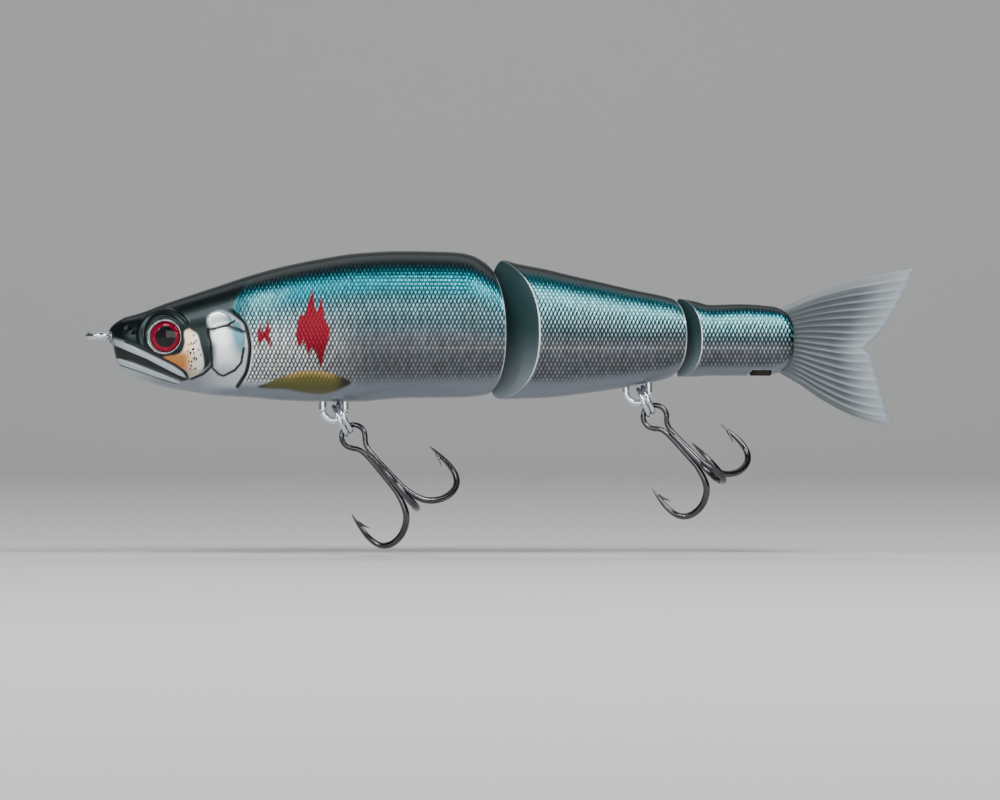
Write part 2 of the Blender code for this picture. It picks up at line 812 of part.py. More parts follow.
middle_pivot = pivot("front_joint_pivot", (FRONT_JOINT["pin_x"], 0, 0))
tail_pivot = pivot("rear_joint_pivot", (REAR_JOINT["pin_x"], 0, 0), middle_pivot)
hang(middle_pivot, *middle, *middle_pieces)
hang(tail_pivot, *tail, *tail_pieces)
hook_set("front", FRONT_RING, FRONT_TREBLE, FRONT_HANGER, None, -1)
hook_set("rear", REAR_RING, REAR_TREBLE, REAR_HANGER, middle_pivot, -1)
bpy.context.view_layer.update()
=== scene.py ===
"""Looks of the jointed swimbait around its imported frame. Shapes are designed in millimetres
in the frame's axes: +X toward the tail, +Z toward the back, Y sideways."""

import json
import math

import bmesh
import bpy
import numpy as np
from mathutils import Matrix, Vector


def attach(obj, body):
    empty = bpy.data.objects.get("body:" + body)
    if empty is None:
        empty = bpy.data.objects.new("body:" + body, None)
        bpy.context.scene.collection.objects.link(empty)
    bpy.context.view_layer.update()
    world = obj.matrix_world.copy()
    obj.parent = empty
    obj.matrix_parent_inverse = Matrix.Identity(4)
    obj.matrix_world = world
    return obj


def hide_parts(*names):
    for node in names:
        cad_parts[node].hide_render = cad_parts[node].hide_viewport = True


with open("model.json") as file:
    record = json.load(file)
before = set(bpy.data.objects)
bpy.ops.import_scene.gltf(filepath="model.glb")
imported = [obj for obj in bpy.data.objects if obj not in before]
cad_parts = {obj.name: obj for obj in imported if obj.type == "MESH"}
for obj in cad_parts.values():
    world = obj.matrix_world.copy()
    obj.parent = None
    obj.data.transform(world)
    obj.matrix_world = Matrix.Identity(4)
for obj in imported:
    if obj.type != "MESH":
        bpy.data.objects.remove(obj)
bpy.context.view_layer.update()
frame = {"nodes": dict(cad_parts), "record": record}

MM = 0.001
SIDES = {"left": 1, "right": -1}
ROUND_SIDES = 96
PARTING_GAP = 0.012

# ---- body design

# A section is a squared-off ellipse. ASPECT is its usual half width to half height
SECTION_POWER = 2.35
SECTION_ASPECT = 0.68

# Steps round half a section, length of a row of faces, and how far and how strongly the rows
# crowd together toward the nose
ROUND_STEPS = 180
ROW_LENGTH = 0.2
CROWDED_PART = 1 / 6
CROWDING = 0.55

# Steps over the rim's fillet and over the face behind it
FILLET_STEPS = 6
FACE_STEPS = 21

# x, height of the back, height of the belly, half width
FRONT_STATIONS = [
    (1.7, 0.7, -0.8, 0.9),
    (2.1, 1.7, -1.5, 1.7),
    (2.8, 2.5, -2.4, 2.4),
    (3.4, 3.0, -5.2, 2.9),
    (4.0, 3.4, -6.7, 3.4),
    (5.4, 4.15, -8.5, 4.3),
    (7.2, 4.65, -9.3, 5.1),
    (9.6, 5.4, -9.8, 5.9),
    (13.5, 6.9, -11.1, 6.9),
    (18.5, 8.6, -12.1, 7.8),
    (25.2, 10.8, -13.1, 8.8),
    (31.8, 13.0, -13.5, 9.6),
    (40.0, 15.3, -14.2, 10.4),
    (48.3, 17.0, -14.5, 11.0),
    (57.0, 18.3, -14.5, 11.4),
    (66.0, 18.75, -13.8, 11.5),
    (76.0, 18.6, -13.65, 11.35),
    (79.4, 18.35, -13.6, 11.23),
    (82.2, 17.7, -13.45, 11.08),
    (84.1, 16.7, -13.15, 10.95),
    (85.8, 15.5, -12.8, 10.87),
    (87.5, 14.2, -12.25, 10.78),
    (92.0, 11.6, -11.2, 10.6),
]
MIDDLE_STATIONS = [
    (86.1, 12.4, -11.9, 10.6),
    (86.8, 14.4, -13.2, 10.6),
    (87.6, 15.9, -13.75, 10.6),
    (88.7, 16.7, -13.95, 10.6),
    (92.0, 15.95, -13.9, 10.4),
    (98.0, 14.8, -13.7, 9.9),
    (104.6, 13.2, -13.0, 9.2),
    (111.2, 11.7, -12.1, 8.5),
    (117.8, 10.15, -11.0, 7.8),
    (122.5, 9.2, -10.1, 7.3),
    (125.4, 8.5, -9.2, 7.0),
    (127.5, 7.7, -8.0, 6.8),
    (132.0, 6.3, -6.6, 6.4),
]
TAIL_STATIONS = [
    (126.8, 7.2, -8.0, 6.8),
    (127.6, 8.2, -9.0, 6.7),
    (131.0, 7.7, -9.0, 6.4),
    (134.4, 6.9, -8.8, 6.0),
    (141.0, 7.05, -8.8, 5.3),
    (147.6, 6.6, -8.6, 4.6),
    (149.6, 6.2, -8.1, 4.3),
    (151.4, 5.0, -6.9, 3.9),
    (152.4, 3.4, -5.3, 3.4),
    (152.8, 2.3, -4.2, 2.9),
]

# Hinges between sections: faces as x against distance from the middle plane, pin and screw eyes
FRONT_JOINT = {
    "socket_x": 84.9,
    "socket_slope": 0.445,
    "nose_x": 86.2,
    "nose_slope": 1.1,
    "nose_round": 1.1,
    "pin_x": 88.3,
    "eye_heights": (-5.6, 8.0),
    "eye_radius": 1.12,
    "eye_wire": 0.42,
}
REAR_JOINT = {
    "socket_x": 126.0,
    "socket_slope": 0.5,
    "nose_x": 127.2,
    "nose_slope": 0.87,
    "nose_round": 0.8,
    "pin_x": 128.9,
    "eye_heights": (-2.9, 3.1),
    "eye_radius": 1.0,
    "eye_wire": 0.38,
}
KERF_CLEARANCE = 0.3
# Length within which a nose grows to its full height
NOSE_REACH = 2.6
# Fillets where the outer surface turns into an end face
NOSE_RIM = 0.3
SOCKET_RIM = 0.45
END_RIM = 0.5

# Embossed scales, and the groove along the side that they are laid out from
SCALE_LENGTH = 0.86
SCALE_HEIGHT = 1.88
SCALE_RELIEF = 0.13
LATERAL_LINE = -2.7
LATERAL_DEPTH = 0.03

# Hollow under the middle section that clears the swinging ring: middle, half length and depth
RING_ROOM_X = 119.58
RING_ROOM_LENGTH = 2.6
RING_ROOM_DEPTH = 0.14

# Eyes: socket, turned profiles as (radius, height) and where the eye shows in the side view
EYE_X = 14.85
EYE_Z = -0.2
EYE_TILT = math.radians(11)
EYE_SEAT = 5.35
SOCKET_RADIUS = 3.75
SOCKET_DEPTH = 8.0
PRINT_RADIUS = 3.66
DISC_PROFILE = [
    (0, 0.02), (3.63, 0.02), (3.67, 0.06), (3.67, 0.95), (3.62, 1.03), (3.52, 1.05),
    (3.45, 1.01), (3.4, 0.9), (3.35, 0.6), (3.3, 0.52), (0, 0.5),
]
LENS_BASE = [(0, 0.42), (3.25, 0.42), (3.3, 0.5), (3.3, 0.8)]
DOME_HEIGHT = 1.0
DOME_STEPS = 20
EYE_FACE = (14.15, 0.1)
EYE_RIM_RADIUS = 4.1
BROW_RADIUS = 5.6

# Outlines and lines of the head in the side view, as (x, z). The lines along the lips and the jaw
# are grooves above the upper lip and under the lower one
UPPER_LIP = [
    (2.9, -1.0), (3.6, -0.85), (6.6, -2.0), (10.1, -3.75), (13.5, -5.4), (16.3, -6.9), (18.2, -8.2),
    (18.8, -9.1), (16.9, -8.5), (13.5, -6.8), (10.1, -5.05), (6.6, -3.6), (3.9, -2.35),
]
LOWER_LIP = [
    (3.5, -5.1), (4.2, -4.95), (6.6, -5.75), (9.7, -6.95), (12.5, -8.0), (14.5, -8.8), (16.6, -9.7),
    (17.6, -10.2), (16.6, -10.3), (14.0, -9.5), (11.6, -8.8), (9.0, -7.8), (6.6, -7.0), (4.6, -6.2),
]
MOUTH = [
    (2.4, -2.0), (3.9, -2.35), (6.6, -3.6), (10.1, -5.05), (13.5, -6.8), (16.9, -8.5), (18.9, -9.3),
    (19.0, -9.9), (17.6, -10.2), (16.6, -9.7), (14.5, -8.8), (12.5, -8.0), (9.7, -6.95),
    (6.6, -5.75), (4.2, -4.95), (2.4, -4.8),
]
LIP_LINE = [(5.4, -1.2), (10.1, -3.3), (13.5, -4.95), (16.3, -6.4), (18.5, -8.0), (19.3, -9.4)]
JAW_LINE = [(4.4, -6.45), (6.6, -7.25), (9.4, -8.15), (14.2, -9.8), (16.8, -10.55)]
HEAD_DARK = [
    (1.0, -0.9), (3.0, -0.4), (6.5, -1.5), (11.0, -3.6), (15.5, -5.9), (19.4, -8.9),
    (21.6, -7.9), (24.1, -6.4), (24.4, -3.5), (24.0, -0.6), (24.0, 1.2), (23.4, 3.4), (24.2, 5.0),
    (26.4, 5.7), (28.7, 5.0), (29.2, 6.4), (30.6, 9.6), (34.0, 14.0), (38.0, 20.0), (1.0, 20.0),
]
CHEEK = [
    (18.5, 0.9), (19.3, 1.6), (20.4, 1.1), (21.4, 0.2), (22.1, -2.4), (22.7, -5.0), (22.6, -7.1),
    (20.6, -9.2), (19.6, -9.2), (18.9, -7.9), (16.6, -6.3), (13.9, -4.8), (14.6, -4.35),
    (16.6, -4.1), (17.9, -3.4), (18.6, -1.4),
]
CHEEK_LINE = [(23.6, 1.2), (24.2, -1.3), (24.6, -6.6), (22.6, -8.4), (20.0, -9.5)]
OPERCLE = [
    (24.2, 0.9), (24.0, -0.6), (24.3, -2.5), (24.6, -4.2), (24.3, -6.4), (25.4, -7.8), (26.9, -8.8),
    (29.0, -8.3), (30.3, -7.5), (31.2, -5.6), (31.7, -2.6), (31.9, -0.1), (31.4, 1.0),
    (29.7, 1.6), (27.9, 2.2), (25.9, 2.0),
]
UPPER_PLATE = [
    (23.6, 3.4), (23.9, 4.8), (25.4, 5.5), (27.0, 5.3), (28.6, 4.1), (29.1, 3.2), (28.5, 2.5),
    (26.6, 2.3), (24.4, 1.5),
]
SMALL_PLATE = [(29.0, 2.8), (30.2, 3.2), (31.3, 1.8), (31.0, 1.3), (29.4, 2.2)]
PLATE_LINES = [
    [(23.7, 1.5), (25.0, 1.6), (28.0, 2.35), (31.7, 1.0)],
    [(28.0, 2.35), (29.6, 3.4)],
]
GILL_EDGE = [
    (29.0, 5.4), (30.7, 3.9), (31.9, 2.3), (32.6, -0.1), (32.9, -2.5), (32.7, -5.2), (32.1, -8.0),
    (31.0, -9.9), (30.2, -11.1),
]
GILL_INNER = [(24.3, -6.7), (26.0, -8.4), (27.1, -8.8), (29.6, -7.5), (31.0, -5.9), (31.6, -2.7)]
# x, z, size
NOSTRILS = [(6.0, 1.7, 0.45), (7.0, 0.9, 0.35)]
MOUTH_DEPTH = 0.5
NOSTRIL_DEPTH = 0.35
EYE_RIM_HEIGHT = 0.22

# Distance and centre of the side view in which the head and marks were laid out
VIEW_DISTANCE = 1100.0
VIEW_CENTRE = (88.1, -14.1)

# Painted marks on the flank, as (x, z)
LARGE_MARK = [
    (43.4, -1.8), (43.1, 1.0), (43.7, 3.6), (44.2, 5.2), (44.9, 4.4), (45.6, 6.6), (46.8, 10.1),
    (47.3, 6.6), (47.6, 5.2), (48.1, 6.2), (48.6, 8.8), (49.1, 5.8), (49.4, 4.3), (50.7, 1.4),
    (50.3, -0.6), (49.5, -3.4), (48.4, -7.3), (47.9, -4.4), (46.9, -2.4), (46.3, -3.0),
    (45.8, -4.6), (45.3, -2.2), (44.7, -1.0), (44.1, -2.6),
]
SMALL_MARK = [
    (34.8, -2.2), (34.6, 1.0), (35.1, 2.6), (35.5, 0.6), (36.2, 1.2), (36.9, 3.6), (37.4, 1.4),
    (37.2, -0.2), (37.8, -2.6), (36.8, -1.2), (36.2, -0.6), (35.4, -1.2),
]
PECTORAL = [
    (34.6, -11.2), (36.6, -10.4), (39.2, -9.2), (42.4, -8.1), (45.6, -7.6), (49.0, -7.8),
    (52.2, -8.6), (55.2, -10.2), (53.0, -11.6), (50.8, -12.4), (48.6, -12.8), (45.0, -12.5),
    (41.3, -11.8), (37.6, -11.6),
]

# ---- fittings, as the frame has them

# Line tie: its loop's and its wire's radius, how far its legs lie from the middle and flare out
# toward the loop, where they end, and its points along the wire
TIE_RADIUS = 2.5
TIE_WIRE = 0.88
TIE_LEG = 0.98
TIE_FLARE = 0.12
TIE_SHANK = 9.4
TIE_STEPS = 160
# Middle and radius of each hanger's bend, and the height that its legs reach
HANGER_STEPS = 150
HANGERS = {
    "front": {"x": 51.45, "z": -16.2, "radius": 2.45, "wire": 0.83, "top": -8.0},
    "rear": {"x": 118.4, "z": -12.24, "radius": 2.52, "wire": 0.76, "top": -5.2},
}
# Angles of rings and trebles are in degrees
RINGS = {
    "front": {"x": 53.46, "z": -18.48, "tilt": 60, "radius": 3.55},
    "rear": {"x": 120.28, "z": -14.45, "tilt": 62.5, "radius": 3.17},
}
RING_WIRE = 0.53
RING_PITCH = 1.13
RING_TURNS = 1.9
RING_STEPS = 72
TREBLES = {
    "front": {"tilt": 48.5, "lean": 12, "roll": 3, "scale": 1.0},
    "rear": {"tilt": 46.5, "lean": 7, "roll": 8, "scale": 0.92},
}
# Where the hooks point round the shank: the two bent from one wire, and the third
PAIR_AZIMUTHS = (-210, 30)
THIRD_AZIMUTH = -90
HOOK_WIRE = 0.58
HOOK_EYE = 2.6
HOOK_EYE_SHIFT = 0.8
BUNDLE_RADIUS = 0.72
PAIR_START = 5.4
THIRD_START = 5.9
PAIR_STEPS = 420
THIRD_STEPS = 220
# Distance along the shank, distance out from it and how far the wire swells
HOOK_BEND = [
    (15.0, 0.93, 1.0),
    (17.0, 1.15, 1.05),
    (19.0, 1.62, 1.15),
    (21.0, 2.5, 1.25),
    (22.4, 3.75, 1.28),
    (23.4, 5.5, 1.28),
    (23.9, 7.3, 1.28),
    (23.9, 9.3, 1.28),
    (23.4, 11.1, 1.25),
    (22.3, 12.6, 1.2),
    (20.6, 13.5, 1.15),
    (18.4, 13.85, 1.05),
    (16.2, 13.75, 0.85),
    (14.1, 13.5, 0.5),
    (12.4, 13.2, 0.15),
]
BARB_START = (14.6, 13.3)
BARB_END = (17.6, 12.1)
BARB_STEPS = 14

# Tail fin, as (x, z)
FIN_ROOT = [(149.9, 6.0), (149.9, -8.2)]
FIN_TOP = [(149.9, 6.0), (154.5, 8.2), (159.0, 10.1), (165.5, 12.2), (172.0, 13.6), (179.2, 14.9)]
FIN_BOTTOM = [
    (149.9, -8.2), (154.5, -10.9), (159.0, -14.0), (164.9, -17.2), (170.4, -19.0), (174.4, -19.5),
]
FIN_TRAIL_TOP = [
    (179.2, 14.9), (178.3, 12.0), (176.8, 8.7), (174.2, 4.15), (171.6, 0.3), (170.0, -1.0),
    (168.4, -2.65),
]
FIN_TRAIL_BOTTOM = [
    (168.4, -2.65), (170.0, -4.6), (170.9, -7.6), (171.6, -10.4), (173.0, -15.3), (174.4, -19.5),
]
FIN_RAYS = 18
FIN_ROWS = 150
FIN_COLUMNS = 300
FIN_NOTCH = 0.52
# Corners of the fin's tab, of the locking lug under it, and of the slot and window cut for them
FIN_TAB = ((142.4, -0.95, -4.1), (150.2, 0.95, 3.3))
FIN_LUG = ((142.6, -0.95, -8.75), (148.0, 0.95, -4.0))
FIN_SLOT = ((149.7, -1.04, -20), (160, 1.04, 20))
FIN_WINDOW = ((143.6, -8, -12), (148.1, 8, -7.45))
LUG_SLANT = 0.5
WINDOW_SLANT = 4.0

# ---- stage, in metres

FLOOR_LEVEL = -0.0486
FLOOR_REACH = 3.0
BACKDROP_START = 1.2
BACKDROP_BEND = 0.6
BACKDROP_TOP = 3.0
BACKDROP_STEPS = 24
AIM = (0.088, 0.0, 0.0)
# Place, aim, size and power in watts
LIGHTS = {
    "left": ((-0.2, -0.5, 0.52), AIM, (0.25, 0.3), 2.0),
    "right": ((0.42, -0.48, 0.5), AIM, (0.2, 0.26), 3.6),
    "front": ((0.088, -1.35, 0.12), AIM, (1.3, 0.6), 10.0),
    "strip": ((-0.56, -0.62, 0.3), (0.014, -0.008, 0.0), (0.05, 0.2), 1.3),
    "wash": ((0.088, 0.6, 1.2), (0.088, 0.9, 0.0), (2.0, 0.8), 6.5),
}
WORLD_COLOUR = (0.8, 0.85, 0.9, 1.0)
WORLD_STRENGTH = 0.1
FRAME_WIDTH = 0.2206
SENSOR_WIDTH = 36.0



# ---- helpers


def srgb(red, green, blue):
    """Linear colour from display values."""
    values = np.array([red, green, blue], float)
    return np.where(values <= 0.04045, values / 12.92, ((values + 0.055) / 1.055) ** 2.4)


def rgba(red, green, blue):
    """The same with full opacity."""
    return (*srgb(red, green, blue), 1.0)


def smooth(low, high, value):
    t = np.clip((value - low) / (high - low), 0, 1)
    return t * t * (3 - 2 * t)


def bell(value, width):
    return np.exp(-((value / width) ** 2))


def mix(first, second, amount):
    """Blends colours, each plain or one for each point, by an array of amounts."""
    return first + (second - first) * np.asarray(amount)[..., None]


def follow(xs, ys, x):
    """A smooth curve through points that never overshoots them."""
    xs, ys = np.asarray(xs, float), np.asarray(ys, float)
    step = np.diff(xs)
    rise = np.diff(ys) / step
    slope = np.zeros(len(xs))
    slope[0], slope[-1] = rise[0], rise[-1]
    same = rise[:-1] * rise[1:] > 0
    w1, w2 = 2 * step[1:] + step[:-1], step[1:] + 2 * step[:-1]
    safe = np.where(rise == 0, 1, rise)
    slope[1:-1] = np.where(same, (w1 + w2) / (w1 / safe[:-1] + w2 / safe[1:]), 0)
    x = np.clip(x, xs[0], xs[-1])
    i = np.clip(np.searchsorted(xs, x, side="right") - 1, 0, len(xs) - 2)
    t = (x - xs[i]) / step[i]
    h00, h10 = (1 + 2 * t) * (1 - t) ** 2, t * (1 - t) ** 2
    h01, h11 = t * t * (3 - 2 * t), t * t * (t - 1)
    return h00 * ys[i] + h10 * step[i] * slope[i] + h01 * ys[i + 1] + h11 * step[i] * slope[i + 1]


def resample(points, count, closed=False):
    """A Catmull-Rom curve through points, as count points evenly spaced along it."""
    points = np.asarray(points, float)
    if closed:
        points = np.vstack([points[-1:], points, points[:2]])
    else:
        points = np.vstack([2 * points[0] - points[1], points, 2 * points[-1] - points[-2]])
    fine = []
    for i in range(1, len(points) - 2):
        p0, p1, p2, p3 = points[i - 1 : i + 3]
        square = 2 * p0 - 5 * p1 + 4 * p2 - p3
        cube = 3 * p1 - p0 - 3 * p2 + p3
        for t in np.linspace(0, 1, 24, endpoint=False):
            fine.append(0.5 * (2 * p1 + (p2 - p0) * t + square * t * t + cube * t**3))
    fine.append(points[-2])
    fine = np.array(fine)
    length = np.concatenate([[0], np.cumsum(np.linalg.norm(np.diff(fine, axis=0), axis=1))])
    at = np.linspace(0, length[-1], count)
    return np.stack([np.interp(at, length, fine[:, k]) for k in range(fine.shape[1])], axis=1)


def line_distance(x, z, line):
    """Distance from each point to an open line of segments."""
    best = np.full(x.shape, 1e9)
    for (ax, az), (bx, bz) in zip(line, line[1:]):
        dx, dz = bx - ax, bz - az
        t = np.clip(((x - ax) * dx + (z - az) * dz) / (dx * dx + dz * dz), 0, 1)
        best = np.minimum(best, np.hypot(x - ax - t * dx, z - az - t * dz))
    return best


def inside_depth(x, z, outline):
    """Signed distance to a closed outline, positive inside."""
    outline = list(outline)
    distance = line_distance(x, z, outline + outline[:1])
    odd = np.zeros(x.shape, bool)
    for (ax, az), (bx, bz) in zip(outline, outline[1:] + outline[:1]):
        crosses = (az > z) != (bz > z)
        reach = (bx - ax) * (z - az) / (bz - az if bz != az else 1e-9) + ax
        odd ^= crosses & (x < reach)
    return np.where(odd, distance, -distance)


def rounded(outline, count=90):
    """The outline with its corners softened."""
    return [tuple(p) for p in resample(outline, count + 1, closed=True)[:-1]]


# ---- body skins


def squared_circle(angle):
    """Sideways and upright position on a section's outline, both up to 1."""
    power = 2 / SECTION_POWER
    upright = np.sign(np.sin(angle)) * np.abs(np.sin(angle)) ** power
    return np.abs(np.cos(angle)) ** power, upright


def even_angles():
    """Angles that space the points of a section evenly from belly to back."""
    angle = np.radians(np.linspace(-90, 90, 4001))
    across, along = squared_circle(angle)
    length = np.cumsum(np.hypot(np.diff(across * SECTION_ASPECT), np.diff(along)))
    length = np.concatenate([[0], length])
    return np.interp(np.linspace(0, length[-1], ROUND_STEPS + 1), length, angle)


def outline_at(stations, x):
    """Height of the back, height of the belly and half width at x."""
    xs, *columns = np.array(stations).T
    return [follow(xs, column, x) for column in columns]


def section(stations, x, angle):
    """Sideways and upright position on the surface at x and angle."""
    top, bottom, width = outline_at(stations, x)
    across, along = squared_circle(angle)
    y = PARTING_GAP + (width - PARTING_GAP) * across
    return y, (top + bottom) / 2 + (top - bottom) / 2 * along


def height_share(stations, x, z):
    """Height on the section at x, from -1 at the belly to 1 at the back."""
    top, bottom, _ = outline_at(stations, x)
    return (z - (top + bottom) / 2) / ((top - bottom) / 2)


def nose_face(joint):
    """The wedge-shaped nose as x against distance from the middle plane."""
    radius, slope = joint["nose_round"], joint["nose_slope"]
    lean = math.atan(1 / slope)
    edge_y = radius * math.sin(lean)
    edge_x = joint["nose_x"] + radius - radius * math.cos(lean)

    def face(y):
        depth = np.sqrt(np.maximum(radius**2 - np.minimum(y, edge_y) ** 2, 0))
        return np.where(y < edge_y, joint["nose_x"] + radius - depth, edge_x + slope * (y - edge_y))

    return face


def socket_face(joint):
    return lambda y: joint["socket_x"] + joint["socket_slope"] * np.abs(y)


def flat_face(x):
    return lambda y: np.full(np.shape(y), x)


def profile_limit(stations, z):
    """Where the outline above or below a nose first reaches the height z."""
    x = np.linspace(stations[0][0], stations[0][0] + NOSE_REACH, 200)
    top, bottom, _ = outline_at(stations, x)
    top = np.maximum.accumulate(top)
    bottom = np.minimum.accumulate(bottom)
    return np.where(z > 0, np.interp(z, top, x), np.interp(-z, -bottom, x))


def end_rows(stations, angle, face, rim, toward_tail):
    """Where the outer surface stops at a section's end, and the rows of points over the end from
    the outside in: the rim's fillet and the face behind it."""
    x = np.full(angle.shape, stations[-1][0] if toward_tail else stations[0][0], float)
    for _ in range(60):
        y, _ = section(stations, x, angle)
        x = 0.5 * x + 0.5 * face(y)
    y, z = section(stations, x, angle)
    sign = 1 if toward_tail else -1
    radius = np.minimum(rim, 0.4 * y)
    start_x = x - sign * radius
    start_y, start_z = section(stations, start_x, angle)
    inner_y = np.maximum(y - radius, PARTING_GAP)
    limit = -99.0 if toward_tail else profile_limit(stations, z)
    inner = np.stack([np.maximum(face(inner_y), limit), inner_y, z], axis=-1)
    outer = np.stack([start_x, start_y, start_z], axis=-1)
    corner = np.stack([x, y, z], axis=-1)
    rows = []
    for t in np.linspace(0, 1, FILLET_STEPS + 1)[1:]:
        rows.append((1 - t) ** 2 * outer + 2 * t * (1 - t) * corner + t * t * inner)
    for t in np.linspace(0, 1, FACE_STEPS + 1)[1:]:
        across = inner_y + (PARTING_GAP - inner_y) * t
        rows.append(np.stack([np.maximum(face(across), limit), across, z], axis=-1))
    return start_x, rows


def spread_rows(spec, start_x, end_x):
    """Places of the rows between a section's two ends."""
    length = spec["stations"][-1][0] - spec["stations"][0][0]
    share = np.linspace(0, 1, int(length / ROW_LENGTH) + 1)
    if spec["head"]:
        turn = 2 * np.pi * np.minimum(share / CROWDED_PART, 1)
        share = share - CROWDING * np.sin(turn) * CROWDED_PART / (2 * np.pi)
        share = share / share[-1]
    return start_x + (end_x - start_x) * share[:, None]


def grid_normals(points):
    """Unit normals of a grid, away from the middle plane."""
    normal = np.cross(np.gradient(points, axis=0), np.gradient(points, axis=1))
    normal /= np.maximum(np.linalg.norm(normal, axis=-1, keepdims=True), 1e-9)
    return normal * np.sign(normal[..., 1].sum())


def arc_from_line(points):
    """Length over the surface from the lateral line, along each row of a grid."""
    step = np.linalg.norm(np.diff(points, axis=1), axis=-1)
    arc = np.concatenate([np.zeros((len(points), 1)), np.cumsum(step, axis=1)], axis=1)
    level = [np.interp(LATERAL_LINE, z, lengths) for z, lengths in zip(points[..., 2], arc)]
    return arc - np.array(level)[:, None]


def scale_cells(x, arc):
    """For each point of the scale pattern: 0 in its scale's middle to 1 at the edge, the height of
    the scale's dome, and a brightness: the scale's own random tone times painted light, lighter on
    its head side and darker toward its tail side."""
    u = x / SCALE_LENGTH + arc / SCALE_HEIGHT
    v = x / SCALE_LENGTH - arc / SCALE_HEIGHT
    pu, pv = np.abs(2 * (u % 1) - 1), np.abs(2 * (v % 1) - 1)
    own = np.sin(np.floor(u) * 12.9898 + np.floor(v) * 78.233) * 43758.5453 % 1
    # painted light: each scale lighter on its head side and darker toward its tail side
    tailward = u % 1 + v % 1 - 1
    return np.maximum(pu, pv), (1 - pu**2) * (1 - pv**2), (0.8 + 0.45 * own) * (1 - 0.3 * tailward)


def side_on(x, y, z):
    """Where a point of the side shows in a side view from VIEW_DISTANCE away."""
    grow = 1 + np.abs(y) / VIEW_DISTANCE
    return VIEW_CENTRE[0] + (x - VIEW_CENTRE[0]) * grow, VIEW_CENTRE[1] + (z - VIEW_CENTRE[1]) * grow


# ---- relief and paint of the skins

SILVER = srgb(0.93, 0.95, 0.96)
# Painted shade: darker silver for the lower flank
SHADED_SILVER = srgb(0.4, 0.42, 0.44)
TEAL = srgb(0.13, 0.56, 0.62)
# Painted highlight on the upper flank
HIGHLIGHT_TEAL = srgb(0.66, 0.96, 0.98)
DEEP_TEAL = srgb(0.1, 0.42, 0.47)
BACK_GREY = srgb(0.19, 0.22, 0.225)
BELLY_PEARL = srgb(0.42, 0.45, 0.49)
LATERAL_GLINT = srgb(0.95, 0.96, 0.97)
MARK_RED = srgb(0.44, 0.0, 0.1)
OLIVE = srgb(0.4, 0.39, 0.17)
OLIVE_END = srgb(0.1, 0.09, 0.07)
# Painted cream highlight along the olive leaf's upper edge
OLIVE_HIGHLIGHT = srgb(0.85, 0.7, 0.45)
HEAD_SKIN = srgb(0.47, 0.5, 0.53)
JAW_SKIN = srgb(0.62, 0.65, 0.66)
GILL_SKIN = srgb(0.9, 0.93, 0.94)
NAPE = srgb(0.1, 0.28, 0.31)
CROWN = srgb(0.13, 0.17, 0.175)
CHEEK_PALE = srgb(0.98, 0.87, 0.72)
CHEEK_ORANGE = srgb(0.74, 0.49, 0.27)
CHEEK_WHITE = srgb(0.93, 0.92, 0.9)
CHEEK_LOW = srgb(0.72, 0.68, 0.62)
# Painted highlight of the gill plates
PLATE_HIGHLIGHT = srgb(0.97, 0.99, 0.99)
PLATE_TEAL = srgb(0.3, 0.5, 0.55)
PLATE_SHADE = srgb(0.45, 0.48, 0.5)
PLATE_LOW = srgb(0.66, 0.7, 0.72)
LIP = srgb(0.66, 0.71, 0.73)
MOUTH_DARK = srgb(0.09, 0.1, 0.1)
INK = srgb(0.06, 0.08, 0.085)
NOSE_TIP = srgb(0.2, 0.22, 0.22)
WEDGE_TOP = srgb(0.19, 0.29, 0.3)
WEDGE_FOOT = srgb(0.46, 0.5, 0.52)
# Painted highlight along the rims
RIM_HIGHLIGHT = srgb(0.86, 0.89, 0.9)

GILL_CURVE = resample(GILL_EDGE, 60)

# Raised parts of the head: outline, height, and the depths inside it where the rise starts and ends
RAISED = [
    (UPPER_LIP, 0.22, -0.25, 0.15),
    (LOWER_LIP, 0.16, -0.25, 0.15),
    (OPERCLE, 0.2, -0.1, 0.5),
    (UPPER_PLATE, 0.18, -0.1, 0.4),
    (SMALL_PLATE, 0.12, -0.1, 0.3),
]

# Grooves of the head: line, depth, width, how far its black reaches and how far it is full
GROOVES = [
    (GILL_CURVE, 0.32, 0.3, 0.56, 0.32),
    (CHEEK_LINE, 0.25, 0.24, 0.42, 0.18),
    (GILL_INNER, 0.2, 0.2, 0.4, 0.16),
    (LIP_LINE, 0.2, 0.2, 0.38, 0.14),
    (JAW_LINE, 0.12, 0.15, 0.24, 0.0),
    *[(line, 0.16, 0.18, 0.36, 0.16) for line in PLATE_LINES],
]


def head_relief(x, z):
    """Height of the moulded head features in millimetres."""
    mouth = smooth(-0.15, 0.25, inside_depth(x, z, MOUTH)) * smooth(2.5, 5.0, x)
    relief = -MOUTH_DEPTH * mouth
    for outline, height, low, high in RAISED:
        relief += height * smooth(low, high, inside_depth(x, z, rounded(outline)))
    for line, depth, width, _, _ in GROOVES:
        relief -= depth * bell(line_distance(x, z, line), width)
    for nostril_x, nostril_z, size in NOSTRILS:
        relief -= NOSTRIL_DEPTH * bell(np.hypot(x - nostril_x, z - nostril_z), size)
    away = np.hypot(x - EYE_FACE[0], z - EYE_FACE[1])
    relief += EYE_RIM_HEIGHT * bell(away - EYE_RIM_RADIUS, 0.3)
    brow = smooth(-1.5, 1.5, z - EYE_FACE[1] + 0.4 * (EYE_FACE[0] - x))
    relief += EYE_RIM_HEIGHT * bell(away - BROW_RADIUS, 0.35) * brow
    return relief * smooth(1.8, 4.5, x)


def behind_gill(x, z):
    """0 on the head to 1 where the scales have begun behind it."""
    gill_x = np.interp(z, GILL_CURVE[::-1, 1], GILL_CURVE[::-1, 0])
    gill_top = GILL_EDGE[0][1]
    gill_x = np.where(z > gill_top, 28.8 + (z - gill_top) * 0.45, gill_x)
    return smooth(0.5, 1.0, x - gill_x)


